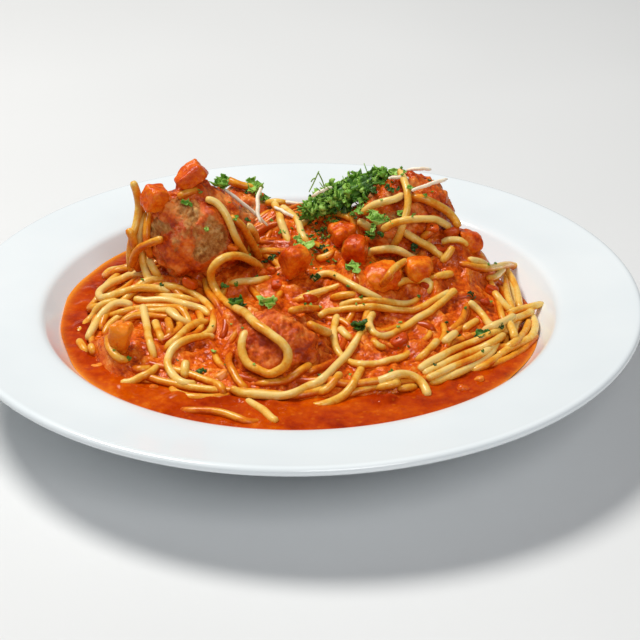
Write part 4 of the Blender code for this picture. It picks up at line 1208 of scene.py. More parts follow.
def strand_shape(path, sides, stain, draw, sauce_top):
    """A strand's tube: a painted reflection of the sauce reddens its lower flanks, and it is stained near the
    sauce.
    """
    count = len(path)
    wave = np.sin(np.arange(count) * 0.35 + draw.uniform(0, 6))
    thickness = STRAND_RADIUS * draw.uniform(*STRAND_SPREAD) * (1 + 0.03 * wave)
    knots = np.arange(0, count + 8, 8)
    along = np.interp(np.arange(count), knots, draw.normal(*STAIN_DRIFT, len(knots)))
    points, quads, tris, marks = tube(path, thickness, sides, {"stain": stain + along})
    rise = (points[:-2, 2].reshape(count, sides) - path[:, 2:]) / thickness[:, None]
    # Painted reflection: 1 on the underside of the tube, 0 on its top, so the flanks go redder and the top
    # stays pale.
    flank = 1 - ease(np.concatenate([rise.ravel(), (0, 0)]), -0.5, 0.95)
    above = points[:, 2] - read(sauce_top, points[:, 0], points[:, 1])
    near_sauce = 1 - ease(above, 0.0, 0.0022)
    marks["stain"] = marks["stain"] + FLANK_REFLECTION_AND_STAIN * (flank + near_sauce)
    return points, quads, tris, marks


# ---------------------------------------------------------------- stage


def put(made, axes, place):
    """Puts an object into the scene at a place, turned to three axes."""
    matrix = np.eye(4)
    matrix[:3, :3] = np.column_stack(axes)
    matrix[:3, 3] = place
    bpy.context.scene.collection.objects.link(made)
    made.matrix_world = Matrix(matrix)


def make_camera():
    """The camera, where the photograph was taken from."""
    lens = bpy.data.cameras.new("photo_camera")
    lens.lens = LENS
    lens.sensor_width = SENSOR
    lens.clip_start = 0.01
    made = bpy.data.objects.new("photo_camera", lens)
    put(made, (VIEW_RIGHT, VIEW_UP, VIEW_BACK), EYE)
    bpy.context.scene.camera = made


def soft_light(name, place, aim, size, power, tint):
    """A round, soft lamp that faces the point it aims at."""
    lamp = bpy.data.lights.new(name, "AREA")
    lamp.shape = "DISK"
    lamp.size = size
    lamp.energy = power
    lamp.color = colour(tint)[:3]
    back = np.array(place) - np.array(aim)
    back /= np.linalg.norm(back)
    side = np.cross((0, 0, 1), back)
    side /= np.linalg.norm(side)
    put(bpy.data.objects.new(name, lamp), (side, np.cross(back, side), back), place)


def make_stage():
    """A pale floor, a dim even sky, a soft light from behind on the left and a weaker one in front."""
    world = bpy.data.worlds.new("studio")
    bpy.context.scene.world = world
    world.use_nodes = True
    feed(world.node_tree.nodes["Background"], {"Color": colour("#F2F5F8"), "Strength": 0.22})
    soft_light("behind_left", (-0.55, 0.35, 1.3), (0, 0, 0.03), 0.5, 19.5, "#FFFDF8")
    soft_light("in_front", (0.35, -1.1, 1.0), (0, 0, 0.03), 0.8, 7.5, "#FFFFFF")
    side, below = 3.0, -0.0002
    corners = [(-side, -side, below), (side, -side, below), (side, side, below), (-side, side, below)]
    mesh = bpy.data.meshes.new("floor")
    mesh.from_pydata(corners, [], [(0, 1, 2, 3)])
    mesh.materials.append(matt_card())
    floor = bpy.data.objects.new("floor", mesh)
    bpy.context.scene.collection.objects.link(floor)
    bpy.context.scene.view_settings.view_transform = "Standard"


# ---------------------------------------------------------------- heap

SAUCE_PATCHES = {
    # middle of the patch in the photograph, half sizes on the plan in mm, and how thick it lies (1: thick).
    # Above 1, as under the left ball and inside the bend, the sauce is also darkened there as painted shade
    "around_front_ball": (280, 352, 24, 22, 1.0),
    "behind_front_ball": (262, 318, 18, 12, 0.9),
    "middle": (330, 290, 26, 14, 0.9),
    "under_round_tomato": (390, 295, 22, 12, 1.0),
    "right_slope": (440, 290, 20, 16, 1.0),
    "right_front": (400, 345, 22, 16, 1.0),
    "right_back": (460, 250, 16, 14, 1.0),
    "between_balls": (310, 230, 22, 14, 0.7),
    "front_right": (360, 375, 20, 10, 0.7),
    "left_pocket": (205, 360, 16, 14, 0.9),
    "left_low": (118, 352, 17, 13, 1.0),
    "inside_bend": (236, 271, 11, 8, 1.4),
    "under_left_ball": (200, 279, 20, 6, 1.35),
    "under_tomato_middle": (285, 282, 12, 6, 1.2),
}


def patch_map(terrain):
    """How thick the sauce lies: soft ovals where the photograph shows it, broken up by mottle."""
    x, y = plan()
    thick = np.zeros_like(x)
    for px, py, half_x, half_y, most in SAUCE_PATCHES.values():
        spots = EYE + rays(np.array([[px, py]], float)) * SIGHT[:, None]
        hit = (spots[:, 2] < read(terrain, spots[:, 0], spots[:, 1])).argmax()
        far = np.hypot((x - spots[hit, 0]) / half_x, (y - spots[hit, 1]) / half_y) * 1000
        thick = np.maximum(thick, most * np.exp(-(far**2.5) * 0.7))
    return np.clip(thick + 0.16 * mottle(0.004, 31) * (0.35 + thick), 0, THICKEST)


def smooth_top(first, second, reach):
    """The higher of two heights, with a fillet of that reach where they meet."""
    return np.maximum(first, second) + np.clip(reach - np.abs(first - second), 0, None) ** 2 / (4 * reach)


def hug_balls(sauce, thick):
    """Draws the sauce up where it meets the meatballs.

    It makes a collar round each high one. It covers the sides of the sunken one, and slopes down behind it.
    """
    x, y = plan()
    for name, (ball_x, ball_y, ball_z, radius, _) in MEATBALLS.items():
        away_from = np.hypot(x - ball_x, y - ball_y)
        if name == "meatball_front":
            over = radius - 0.0022 + 0.0006 * mottle(0.0022, 37)
            dome = ball_z + np.sqrt(np.clip(over**2 - away_from**2, 0, None))
            dome = np.where(away_from < over * 0.93, dome, SAUCE_LEVEL - 0.01)
            sauce = smooth_top(sauce, dome, 0.005)
            slope = ball_z + 0.98 * over - 0.42 * away_from - 0.35 * np.abs(x - ball_x - 0.003)
            sauce = smooth_top(sauce, np.where(y > ball_y, slope, 0), 0.005)
            thick = np.maximum(thick, 1.1 * ease(0.026 - away_from, 0, 0.008))
        else:
            sunk = ball_z - read(sauce, ball_x, ball_y)
            waist = math.sqrt(max(radius**2 - sunk**2, (0.5 * radius) ** 2))
            collar = np.exp(-(((away_from - waist - 0.0005) / 0.0035) ** 2))
            sauce = sauce + (0.0020 + 0.0006 * mottle(0.004, 38)) * collar
    return sauce, thick


def add_lumps(sauce, thick):
    """Presses soft domes of pulp, 1 to 3 mm across, into the sauce map where the sauce lies thick."""
    draw = np.random.default_rng(36)
    reach = 5
    offsets = np.arange(-reach, reach + 1)
    i, j = np.meshgrid(offsets, offsets, indexing="ij")
    most = len(AXIS) - 1 - reach
    lumpy = sauce.copy()
    steep = np.hypot(*np.gradient(sauce, MAP_CELL))
    for _ in range(LUMP_TRIES):
        x, y = draw.uniform(-0.086, 0.086), draw.uniform(-0.071, 0.067)
        size, keen = draw.uniform(0.0006, 0.0014), draw.uniform()
        turn, stretch = draw.uniform(0, 3), draw.uniform(0.6, 1)
        a, b = round((x + MAP_HALF) / MAP_CELL), round((y + MAP_HALF) / MAP_CELL)
        if min(a, b) < reach or max(a, b) > most or thick[a, b] < 0.15 + 0.5 * keen or steep[a, b] > 0.9:
            continue
        along = (i * math.cos(turn) + j * math.sin(turn)) * MAP_CELL / size
        across = (j * math.cos(turn) - i * math.sin(turn)) * MAP_CELL / (size * stretch)
        dome = 0.75 * size * np.sqrt(np.clip(1 - along**2 - across**2, 0, None)) - 0.0002
        part = (slice(a - reach, a + reach + 1), slice(b - reach, b + reach + 1))
        lumpy[part] = np.maximum(lumpy[part], sauce[part] + dome)
    return blur(lumpy, 0.00025)


def carrying(level):
    """Raises the bed to what it carries.

    It rises in soft ridges under the bank of parsley and between the high balls, in a bell-shaped mound to
    each topping's foot that is in reach, and in one more beside the tomato piece at the right.
    """
    x, y = plan()
    middle = node_middle("parsley_pile")
    along, across = x - middle[0], y - middle[1]
    slope = math.tan(math.radians(PILE_TILT))
    under_bank = middle[2] - 0.0068 + slope * along - (across / 0.009) ** 2 * 0.006
    under_bank = under_bank - np.clip(np.abs(along) - PILE_HALF[0] * 0.7, 0, None) ** 2 * 90
    ridge = RIDGE_TOP - 0.0015 - ((y - RIDGE_PLACE) / 0.008) ** 2 * 0.0045
    ridge = ridge - np.clip(np.abs(x - 0.002) - 0.012, 0, None) ** 2 * 70
    level = smooth_top(smooth_top(level, ridge, 0.004), under_bank, 0.004)
    for name in TOPPINGS:
        low, _ = node_box(name)
        middle = node_middle(name)
        room = low[2] + 0.0006 - read(level, *middle[:2])
        if 0 < room < 0.012:
            level = level + room * np.exp(-((x - middle[0]) ** 2 + (y - middle[1]) ** 2) / 0.0075**2)
        if name == "tomato_right":
            beside = (x - middle[0] + BESIDE_RIGHT) ** 2 + (y - middle[1]) ** 2
            level = level + 0.0035 * np.exp(-beside / 0.010**2)
    return level


def set_in_sauce(sauce):
    """Brings the sauce up to the feet of what lies on the heap, with a collar round each diced tomato."""
    x, y = plan()
    for name in TOPPINGS:
        low, high = node_box(name)
        middle, half = (low + high) / 2, (high - low) / 2
        if read(sauce, *middle[:2]) < low[2] - 0.008:
            continue
        far = np.hypot((x - middle[0]) / (half[0] + 0.001), (y - middle[1]) / (half[1] + 0.001))
        sauce = smooth_top(sauce, np.where(far < 1.8, low[2] + 0.0009 - 0.0035 * far**2, 0), 0.0015)
        if name in TOMATOES:
            far = np.hypot((x - middle[0]) / (half[0] + 0.0008), (y - middle[1]) / (half[1] + 0.0008))
            sauce = sauce + 0.0013 * np.exp(-(((far - 0.9) / 0.25) ** 2))
        if name == "tomato_right":
            far = np.hypot((x - middle[0] + BESIDE_RIGHT) / 0.0115, (y - middle[1]) / 0.0085)
            mound = low[2] + 0.42 * (high[2] - low[2]) - 0.005 * far**3 + 0.0008 * mottle(0.0022, 39)
            sauce = smooth_top(sauce, np.where(far < 1.5, mound, 0), 0.002)
    return sauce


def sauce_map(level, strand_top, share):
    """Height, thickness and relief of the sauce on the heap.

    It fills the valleys between the strands, and closes over them where it lies thick.
    """
    thick = patch_map(strand_top)
    closed = blur(spread(strand_top, 0.0010), 0.0011)
    core = level - 0.0038 + 0.0028 * thick
    valley = blur(strand_top, 0.0022) - 0.0012
    sauce = valley + (closed + 0.0003 - valley) * ease(thick, 0.15, 0.75)
    sauce, thick = hug_balls(smooth_top(sauce, core, 0.0015), thick)
    sauce = set_in_sauce(sauce)
    sauce = sauce + (0.0005 * mottle(0.0026, 35) + 0.0001 * mottle(0.0009, 34)) * (0.35 + 0.65 * thick)
    sauce = add_lumps(sauce, thick)
    relief = np.clip((sauce - blur(sauce, 0.0012)) / 0.0003, -2, 2)
    rim = ease(share, *HEAP_RIM)
    return sauce * (1 - rim) + (SAUCE_LEVEL - 0.0022) * rim, thick, relief


def build_heap(pasta, coat):
    """Lays strands by rule on a sunken bed, then sauce over them, then the strands that stand out."""
    x, y = plan()
    share = heap_share(x, y)
    level = carrying(np.maximum(bed_height(x, y), SAUCE_LEVEL))
    drowned = SAUCE_LEVEL - 0.0030
    pile = Pile(np.where(share > 1.0, drowned, np.maximum(level - FILLER_SINK, drowned)))
    draw = np.random.default_rng(11)
    paths = lay_fillers(pile, level)
    sauce, thick, relief = sauce_map(level, pile.height, share)
    half = len(paths) // 2
    for name, some in (("pasta_strands_below", paths[:half]), ("pasta_strands_between", paths[half:])):
        # Strands are stained redder where the sauce lies thick, also in the pockets whose thickness stands
        # for painted shade
        stains = [FILLER_STAIN * (1 + read(thick, path[:, 0], path[:, 1])) for path in some]
        fillers = [strand_shape(path, FILLER_SIDES, stain, draw, sauce) for path, stain in zip(some, stains)]
        piece(name, join(fillers), pasta, ["spaghetti"])
    terrain = Pile(np.maximum(np.maximum(pile.height, sauce), SAUCE_LEVEL - 0.0002))
    traced = []
    for name, (stain, shown, *stations) in (TRACED | STANDING).items():
        path = traced_path(stations, shown, terrain.height, name in STANDING)
        terrain.stamp(path)
        paler = np.full(len(path), stain - TRACED_PALER)
        traced.append(strand_shape(path, TRACED_SIDES, paler, draw, sauce))
    piece("pasta_strands_on_top", join(traced), pasta, ["spaghetti"])
    climb = np.clip(blur(terrain.height, 0.0010) - 0.0008 - sauce, 0, 0.0011) * (0.25 + 0.75 * thick)
    make_coat(sauce + climb * (1 - ease(share, *HEAP_RIM)), thick, relief, coat)
    return terrain.height


def make_coat(sauce, thick, relief, material):
    """The sauce over the heap, down to the plate's floor.

    A square grid (u, v) is drawn into a disc by x = u sqrt(1 - v²/2), y = v sqrt(1 - u²/2), and that into
    the heap's footprint. The height is read off the sauce map.
    """
    across, deep = 330, 285
    u, v = np.meshgrid(np.linspace(-1, 1, across), np.linspace(-1, 1, deep), indexing="ij")
    disc_x, disc_y = u * np.sqrt(1 - v**2 / 2), v * np.sqrt(1 - u**2 / 2)
    x, y = heap_point(np.arctan2(disc_y, disc_x), np.hypot(disc_x, disc_y) * HEAP_RIM[1])
    top = np.stack([x, y, read(sauce, x, y)], -1).reshape(-1, 3)
    ring = border(across, deep)
    bottom = FLOOR_HEIGHT + 0.0006
    low = top[ring] * (0.76, 0.76, 0) + (0, 0, bottom)
    points = np.vstack([top, low, (*HEAP_MIDDLE, bottom)])
    lower = len(top) + np.arange(len(ring))
    side = np.stack([ring, lower, np.roll(lower, -1), np.roll(ring, -1)], 1)
    base = fan_faces(len(top) + len(ring), lower, flip=True)
    none = np.zeros(len(ring) + 1)
    marks = {
        "thickness": np.concatenate([read(thick, top[:, 0], top[:, 1]), none]),
        "relief": np.concatenate([read(relief, top[:, 0], top[:, 1]), none]),
    }
    shape = (points, np.vstack([grid_faces(across, deep), side]), base, marks)
    piece("sauce_over_pasta", shape, material, ["spaghetti"])


def spot_on_pile(pixel_x, pixel_y, terrain):
    """Where a pixel's ray meets the pile or a meatball, and the ray's direction."""
    way = rays(np.array([[pixel_x, pixel_y]], float))
    return EYE + way[0] * (distance_to_pile(way, terrain)[0] + 0.0008), way[0]


def make_tomato_bits(terrain, material):
    """Soft scraps of tomato, each a ball pressed uneven, lying where the photograph shows one."""
    parts = []
    power = 3.2
    for number, (pixel_x, pixel_y, size, tint) in enumerate(TOMATO_BITS):
        place, _ = spot_on_pile(pixel_x, pixel_y, terrain)
        draw = np.random.default_rng(600 + number)
        way, quads, tris, _ = ball_grid(18, 26)
        reach = (np.abs(way) ** power).sum(1) ** (-1 / power)
        points = way * reach[:, None] * (1 + 0.10 * waves(way, 1.7, 640 + number))[:, None]
        points = points * (0.55, 0.42, 0.34) * size / 1000
        turns = (draw.uniform(-25, 25), draw.uniform(-25, 25), draw.uniform(-40, 40))
        parts.append((turned(points, turns) + place, quads, tris, {"tint": np.full(len(points), tint)}))
    piece("tomato_scraps", join(parts), material)


def seen_flecks(terrain):
    """The bits of parsley that the photograph shows, each of two small leaves."""
    for number, (pixel_x, pixel_y, size, dark) in enumerate(sum(PARSLEY_BITS.values(), ())):
        draw = np.random.default_rng(500 + number)
        place, way = spot_on_pile(pixel_x, pixel_y, terrain)
        for part in range(2):
            width = size / 1000 * draw.uniform(0.7, 1.0)
            shape = leaf_shape(width, draw.uniform(0.1, 0.4), 0.12, 530 + 2 * number + part, 8, 7)
            shape[3]["tint"][:] = 1.1 - 1.3 * dark
            turns = (draw.uniform(0, 50), draw.uniform(-30, 30), draw.uniform(0, 360))
            yield moved(shape, turns, place - way * 0.0008 + draw.normal(0, 0.2, 3) * size / 1000)


def strewn_flecks(terrain):
    """Tiny bits of parsley, strewn in the hollow under the bank, round it, and thinly over the heap."""
    draw = np.random.default_rng(62)
    bank = node_middle("parsley_pile")
    for _ in range(POCKET_BITS):
        pixel = POCKET[0] + draw.normal(0, POCKET[2]), POCKET[1] + draw.normal(0, POCKET[3])
        place, way = spot_on_pile(*pixel, terrain)
        size, curl = draw.uniform(0.0009, 0.0024), draw.uniform(0.1, 0.4)
        shape = leaf_shape(size, curl, 0.12, draw.integers(9999), 6, 5)
        shape[3]["tint"][:] = draw.uniform(-0.5, 0.9)
        turns = (*draw.uniform(-50, 50, 2), draw.uniform(0, 360))
        yield moved(shape, turns, place - way * 0.0004)
    for number in range(BANK_BITS + HEAP_BITS):
        if number < BANK_BITS:
            x, y = bank[0] + draw.normal(0, 0.016), bank[1] - 0.012 + draw.normal(0, 0.012)
        else:
            x, y = draw.uniform(-0.07, 0.08), draw.uniform(-0.06, 0.06)
        if heap_share(x, y) > 0.95:
            continue
        size = 0.0010 * (1 + draw.exponential(0.4))
        shape = leaf_shape(min(size, 0.0030), draw.uniform(0.1, 0.4), 0.12, 700 + number, 6, 5)
        height = read(terrain, x, y) + 0.0003
        for ball_x, ball_y, ball_z, radius, _ in MEATBALLS.values():
            rest = radius**2 - (x - ball_x) ** 2 - (y - ball_y) ** 2
            height = max(height, ball_z + math.sqrt(rest) + 0.0007) if rest > 0 else height
        yield moved(shape, (*draw.uniform(-35, 35, 2), draw.uniform(0, 360)), np.array((x, y, height)))


def make_flecks(terrain, material):
    """Bits of parsley: those seen in the photograph, and tiny ones strewn thickest round the bank."""
    parts = [*seen_flecks(terrain), *strewn_flecks(terrain)]
    piece("parsley_flecks", join(parts), material)


# ---------------------------------------------------------------- meatballs


def ball_grid(rows, columns):
    """Directions to a ball's points, as rings of equal rise with a point at each pole, and its faces."""
    rise = np.linspace(0, math.pi, rows)[1:-1]
    turn = np.linspace(0, 2 * math.pi, columns, endpoint=False)
    a, b = np.meshgrid(rise, turn, indexing="ij")
    way = np.stack([np.sin(a) * np.cos(b), np.sin(a) * np.sin(b), np.cos(a)], -1).reshape(-1, 3)
    way = np.vstack([way, (0, 0, 1), (0, 0, -1)])
    inner = rows - 2
    quads = grid_faces(inner, columns, ring_columns=True)
    first = fan_faces(inner * columns, np.arange(columns), flip=True)
    last = fan_faces(inner * columns + 1, (inner - 1) * columns + np.arange(columns))
    return outward((way, quads, np.vstack([first, last]), {}))


def make_meatball(name, x, y, z, radius, seed, material, coverage):
    """A ball with crumbs.

    Each point lies out by the gap between its nearest and second nearest of scattered spots. Sauce fills
    the crevices, stands a little proud where the coverage function says, and is thick next to a diced tomato.
    """
    way, quads, tris, _ = ball_grid(120, 210)
    skin = way * radius
    draw = np.random.default_rng(seed)
    spots = draw.normal(size=(CRUMBS, 3))
    spots /= np.linalg.norm(spots, axis=1, keepdims=True)
    heights = draw.uniform(-1, 1, len(spots))
    bent = way + 0.045 * np.stack([waves(skin, 0.005, seed + k) for k in (20, 21, 22)], 1)
    bent /= np.linalg.norm(bent, axis=1, keepdims=True)
    near = np.arccos(np.clip(bent @ spots.T, -1, 1))
    order = np.argpartition(near, 1, axis=1)[:, :2]
    pair = np.take_along_axis(near, order, 1)
    gap = np.clip(np.abs(pair[:, 1] - pair[:, 0]) / 0.05, 0, 1)
    own = heights[np.take_along_axis(order, pair.argmin(1)[:, None], 1)[:, 0]]
    crumbs = 0.0006 * (gap**0.6 - 0.6) + 0.0005 * own * gap
    lumps = 0.0008 * waves(skin, 0.016, seed) + 0.0004 * waves(skin, 0.006, seed + 1)
    sauce = np.clip(coverage(way) + 0.22 * waves(skin, 0.009, seed + 2), 0, 1)
    cover = ease(sauce, 0.35, 0.7)
    ripple = 0.0004 * waves(skin, 0.0045, seed + 3) + 0.0002 * waves(skin, 0.002, seed + 5)
    pad = 0 * sauce
    for tomato in TOMATOES:
        toward = node_middle(tomato) - (x, y, z)
        far = np.linalg.norm(toward)
        if far < radius + 0.007:
            near_it = np.exp(-((np.arccos(np.clip(way @ toward / far, -1, 1)) / 0.36) ** 4))
            pad = np.maximum(pad, near_it * (1 + 0.3 * waves(skin, 0.003, seed + 4)))
    reach = radius - 0.0004 + lumps + crumbs * (1 - 0.8 * cover) + cover * (0.0005 + ripple) + 0.0030 * pad
    points = way * reach[:, None] + (x, y, z)
    marks = {"sauce": np.clip(sauce + 0.8 * pad, 0, 1), "painted_crevice_shade": 1 - gap, "own": own}
    made_name = name.replace("meatball", "fried_meatball")
    piece(made_name, (points, quads, tris, marks), material, [name])


def waves(points, size, seed):
    """Seeded unevenness in space, about -1 to 1: summed sine waves of about that length, turned all ways."""
    draw = np.random.default_rng(seed)
    ways = draw.normal(size=(16, 3))
    ways *= (2 * math.pi / size * draw.uniform(0.7, 1.4, 16) / np.linalg.norm(ways, axis=1))[:, None]
    return np.sin(points @ ways.T + draw.uniform(0, 2 * math.pi, 16)).sum(1) / 4


def outward(shape):
    """Turns a closed shape's faces round if the volume that they enclose comes out negative."""
    points, quads, tris, marks = shape
    corners = np.vstack([quads[:, [0, 1, 2]], quads[:, [0, 2, 3]], tris])
    a, b, c = (points[corners[:, k]] for k in range(3))
    if np.einsum("ij,ij->i", a, np.cross(b, c)).sum() < 0:
        return points, quads[:, ::-1], tris[:, ::-1], marks
    return shape


def facing(pixel, ball):
    """The direction from a ball's middle to the point of it that shows at a pixel."""
    middle, radius = np.array(ball[:3]) - EYE, ball[3]
    way = rays(np.array([pixel], float))[0]
    toward = way @ middle
    spot = way * (toward - math.sqrt(max(toward**2 - middle @ middle + radius**2, 0))) - middle
    return spot / np.linalg.norm(spot)


def left_cover(way):
    """How much sauce the left ball carries: all but the bare patches in front, some at the back and top."""
    bare = 0 * way[:, 0]
    for px, py, reach in BARE_MEAT:
        turn = np.arccos(np.clip(way @ facing((px, py), MEATBALLS["meatball_left"]), -1, 1))
        bare = np.maximum(bare, np.exp(-((turn / reach) ** 4)))
    seen = ease(-way[:, 1], -0.3, 0.3)
    return (0.30 + 0.5 * ease(way[:, 2], 0.45, 0.9)) * (1 - seen) + (0.80 - 0.72 * bare) * seen


SAUCE_COVER = {
    # how much sauce lies on each ball, as a function of the direction from its middle
    "meatball_left": left_cover,
    "meatball_back": lambda way: 0.35 + 0.3 * way[:, 2],
    "meatball_right": lambda way: 0.66 + 0.2 * way[:, 2] + 0.1 * way[:, 0],
    "meatball_front": lambda way: 0.96 + 0.1 * way[:, 2],
}


# ---------------------------------------------------------------- toppings


def turned(points, turns):
    """Points turned about Z, then Y, then X, by the last, middle and first angle in degrees."""
    x, y, z = (math.radians(a) for a in turns)
    about_x = np.array([[1, 0, 0], [0, math.cos(x), -math.sin(x)], [0, math.sin(x), math.cos(x)]])
    about_y = np.array([[math.cos(y), 0, math.sin(y)], [0, 1, 0], [-math.sin(y), 0, math.cos(y)]])
    about_z = np.array([[math.cos(z), -math.sin(z), 0], [math.sin(z), math.cos(z), 0], [0, 0, 1]])
    return points @ (about_x @ about_y @ about_z).T


def node_box(name):
    """The low and the high corner of a node's box."""
    low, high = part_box(name)
    return np.array(low), np.array(high)


def node_middle(name):
    """The middle of a node's box."""
    low, high = node_box(name)
    return (low + high) / 2


def make_tomato(name, sizes, material, seed):
    """A diced piece: its points lie where rounded cuts meet, (sum of (n . w / d)^p)^(-1/p) in direction w.

    The cuts are six sides of a box, each a little askew, and two that take off corners. The piece is then
    fitted to the box of the solid that it stands for, and its foot goes a little way down into the sauce.
    """
    draw = np.random.default_rng(seed)
    way, quads, tris, _ = ball_grid(56, 84)
    sides = np.vstack([np.eye(3), -np.eye(3)]) + draw.normal(0, 0.13, (6, 3))
    half, turns, (power, orange, share) = np.array(sizes[:3]), sizes[3:6], sizes[6:]
    far = np.tile(half, 2) * draw.uniform(0.86, 1.05, 6)
    corners = draw.choice([-1, 1], (2, 3)) * draw.uniform(0.5, 1.1, (2, 3))
    sides = np.vstack([sides, corners])
    sides /= np.linalg.norm(sides, axis=1, keepdims=True)
    far = np.concatenate([far, np.abs(sides[6:]) @ half * draw.uniform(0.70, 0.86, 2)]) / 1000
    reach = (np.clip(way @ sides.T / far, 0, None) ** power).sum(1) ** (-1 / power)
    points = way * reach[:, None]
    uneven = 1 + 0.055 * waves(points, 0.008, seed) + 0.022 * waves(points, 0.003, seed + 1)
    points = turned(points * uneven[:, None], turns)
    low, high = node_box(name)
    middle, span = (low + high) / 2, points.max(0) - points.min(0)
    points = (points - (points.max(0) + points.min(0)) / 2) * (high - low) / span * share + middle
    points[:, 2] += FOOT_STRETCH * np.minimum(points[:, 2] - middle[2], 0)
    shape = (points, quads, tris, {"tint": np.full(len(points), orange)})
    piece(name.replace("tomato", "diced_tomato"), shape, material, [name])


def leaf_shape(width, curl, ruffle, seed, rows=14, columns=11):
    """A parsley leaf: three lobes along it with toothed edges, rolled across its width, its edges ruffled.

    Half width = width (0.22 + 0.78 |sin 1.5 pi (0.16 + 0.84 u)|^0.8) (1.1 - 0.45 u) / 2, times the teeth.
    """
    draw = np.random.default_rng(seed)
    phase = draw.uniform(0, 6)
    u, v = np.meshgrid(np.linspace(0, 1, rows), np.linspace(-1, 1, columns), indexing="ij")
    lobes = 0.22 + 0.78 * np.abs(np.sin(math.pi * (0.16 + 0.84 * u) * 1.5)) ** 0.8
    teeth = 1 + 0.16 * np.sin(26 * u + phase) * np.abs(v)
    half = 0.5 * width * lobes * (1.1 - 0.45 * u) * teeth
    taper = np.sqrt(np.clip(1 - (2 * u - 1) ** 8, 0, 1))
    frill = ruffle * np.abs(v) * np.sin(9 * u + 2.5 * v + phase)
    z = width * (curl * v**2 + frill + 0.10 * np.sin(3 * u + phase))
    sheet = np.stack([width * (u - 0.5), half * v * taper, z], -1)
    normal = np.cross(np.gradient(sheet, axis=0), np.gradient(sheet, axis=1))
    normal /= np.maximum(np.linalg.norm(normal, axis=2, keepdims=True), 1e-12)
    upper, under = sheet + normal * HALF_LEAF, sheet - normal * HALF_LEAF
    points = np.vstack([upper.reshape(-1, 3), under.reshape(-1, 3)])
    count = rows * columns
    face, ring = grid_faces(rows, columns), border(rows, columns)
    after = np.roll(ring, -1)
    edge = np.stack([ring, ring + count, after + count, after], 1)
    vein = np.exp(-((v / 0.12) ** 2))
    marks = {"vein": np.tile(vein.ravel(), 2), "tint": np.full(2 * count, draw.uniform(0, 1))}
    quads = np.vstack([face, face[:, ::-1] + count, edge])
    return outward((points, quads, np.zeros((0, 3), int), marks))


def moved(shape, turns, place):
    """A shape turned about its own middle and put in its place."""
    points, quads, tris, marks = shape
    return turned(points, turns) + place, quads, tris, marks


def make_leaves(material):
    """Each single sprig is a few leaflets that fan out from one spot, one over the other."""
    for number, (name, (width, turn, bright, count)) in enumerate(SINGLE_LEAVES.items()):
        parts = []
        draw = np.random.default_rng(50 + number)
        for k in range(count):
            size = width / 1000 * draw.uniform(0.62, 0.95)
            shape = leaf_shape(size, draw.uniform(0.05, 0.3), draw.uniform(0.05, 0.14), 60 + 7 * number + k)
            shape[3]["tint"][:] = bright + draw.uniform(-0.2, 0.2)
            offset = np.array((draw.uniform(-0.2, 0.2), draw.uniform(-0.2, 0.2), 0.04 * k)) * width / 1000
            turns = (draw.uniform(-20, 30), draw.uniform(-20, 20), turn + (k % 2) * draw.uniform(50, 110))
            parts.append(moved(shape, turns, node_middle(name) + offset))
        piece(name.replace("leaf", "sprig"), join(parts), material, [name])


def stem(path, radius, tint):
    """A thin green stem along a path."""
    marks = {"vein": np.ones(len(path)), "tint": np.full(len(path), tint)}
    return outward(tube(path, np.full(len(path), radius), 6, marks))


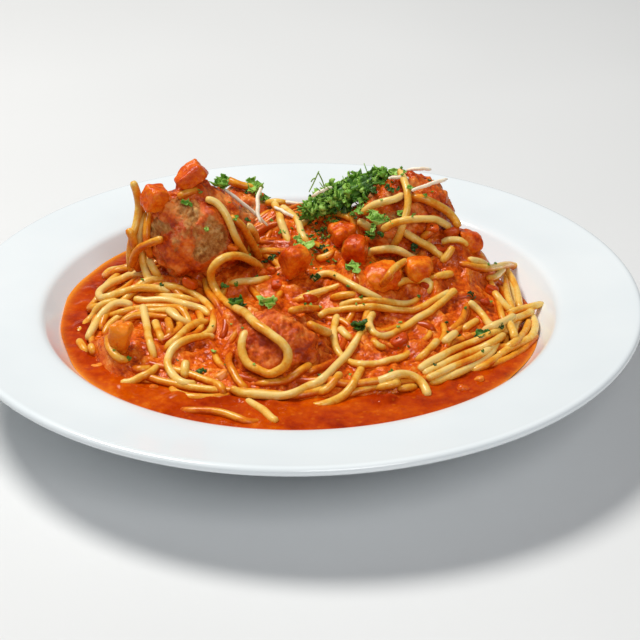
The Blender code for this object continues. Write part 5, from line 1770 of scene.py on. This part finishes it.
def make_parsley_pile(material):
    """Chopped leaves heaped along the bank over a lumpy core of packed ones, with thin stems among them."""
    middle = node_middle("parsley_pile")
    draw = np.random.default_rng(71)
    tilt = math.radians(PILE_TILT)
    along = np.array((math.cos(tilt), 0, math.sin(tilt)))
    up = np.array((-math.sin(tilt), 0, math.cos(tilt)))
    half_length, half_depth, half_height = PILE_HALF
    way, quads, tris, _ = ball_grid(24, 40)
    lumps = 1 + 0.2 * waves(way * 0.01, 0.004, 70)
    core = way * np.array(PILE_HALF) * (0.95, 0.66, 0.85) * lumps[:, None]
    core = core @ np.array([along, (0, 1, 0), up]) + middle
    parts = [outward((core, quads, tris, {"vein": 0 * lumps, "tint": 0 * lumps + 0.3}))]
    for number in range(PILE_LEAVES):
        share = draw.uniform(-1, 1)
        swell = math.sqrt(1 - share**2 * 0.9) * draw.choice([0.75, 1.0, 1.25])
        around = draw.uniform(-2.9, 2.9)
        depth = swell * draw.uniform(0.25, 1.0) ** 0.6
        spot = middle + along * half_length * share * 0.95 + up * half_height * math.cos(around) * depth
        spot = spot - np.array((0, half_depth * math.sin(around) * depth, 0))
        size = draw.uniform(0.0018, 0.0046)
        shape = leaf_shape(size, draw.uniform(0.1, 0.5), draw.uniform(0.08, 0.2), 200 + number, 9, 7)
        # Leaves on the upper side of the bank are painted lighter: painted light from above.
        shape[3]["tint"][:] = draw.uniform(0, 1) * 0.6 + 0.4 * (math.cos(around) > 0)
        parts.append(moved(shape, (*draw.uniform(-80, 80, 2), draw.uniform(0, 360)), spot))
    for _ in range(PILE_STEMS):
        share = draw.uniform(-1, 0.9)
        start = middle + along * half_length * share + up * half_height * draw.uniform(-0.5, 0.5)
        heading = draw.normal(size=3) + (-0.4, -0.4, 0.7)
        heading /= np.linalg.norm(heading)
        bend = np.linspace(0, 1, 7)[:, None]
        path = start + heading * bend * draw.uniform(0.004, 0.008) + draw.normal(0, 0.001, 3) * bend**2
        parts.append(stem(path, 0.00022, 0.8))
    for line in BANK_STEMS:
        way = rays(np.array(line, float))
        path = EYE + way * ((middle[1] - 0.004 - EYE[1]) / way[:, 1])[:, None]
        parts.append(stem(smooth_curve(path, 0.0008), 0.00028, 0.7))
    piece("chopped_parsley_pile", join(parts), material, ["parsley_pile"])


def make_shreds(material):
    """Each shred is a flat section carried along a bowed line, thinner at its ends."""
    for number, (name, (length, turn, tip)) in enumerate(SHREDS.items()):
        draw = np.random.default_rng(90 + number)
        share = np.linspace(-1, 1, 26)
        bow = 0.0012 * share**2 + 0.0002 * np.sin(share * 7 + number)
        path = np.column_stack([share * length / 2000, bow, -0.0010 * share**2])
        path = turned(turned(path, (0, tip, 0)), (0, 0, turn))
        path = path - (path.min(0) + path.max(0)) / 2 + node_middle(name)
        radius = SHRED_RADIUS * (1 - 0.3 * np.abs(share) ** 3) * (1 + 0.07 * draw.normal(size=26))
        shape = outward(tube(path, radius, 8, {}, squash=0.85))
        piece(name.replace("cheese", "hard_cheese"), shape, material, [name])


def main():
    """Makes the stage, the plate, the heap and what lies on it."""
    make_camera()
    make_stage()
    pasta, coat = cooked_pasta(), sauce_coat()
    make_plate(glazed_porcelain())
    top = build_heap(pasta, coat)
    make_tomato_bits(top, tomato_pulp())
    near_heap = np.exp(-(((heap_share(*plan()) - 1.0) / 0.06) ** 2))
    make_pool(thin_sauce(), SAUCE_LEVEL - 0.0003 + (0.0004 + 0.0007 * mottle(0.0022, 23)) * near_heap)
    meat = browned_meat()
    for name, (x, y, z, radius, seed) in MEATBALLS.items():
        make_meatball(name, x, y, z, radius, seed, meat, SAUCE_COVER[name])
    flesh = stewed_tomato()
    for seed, (name, sizes) in enumerate(TOMATOES.items()):
        make_tomato(name, sizes, flesh, 300 + 5 * seed)
    leaf = chopped_parsley()
    make_leaves(leaf)
    make_parsley_pile(leaf)
    make_flecks(top, leaf)
    make_shreds(grated_cheese())


main()
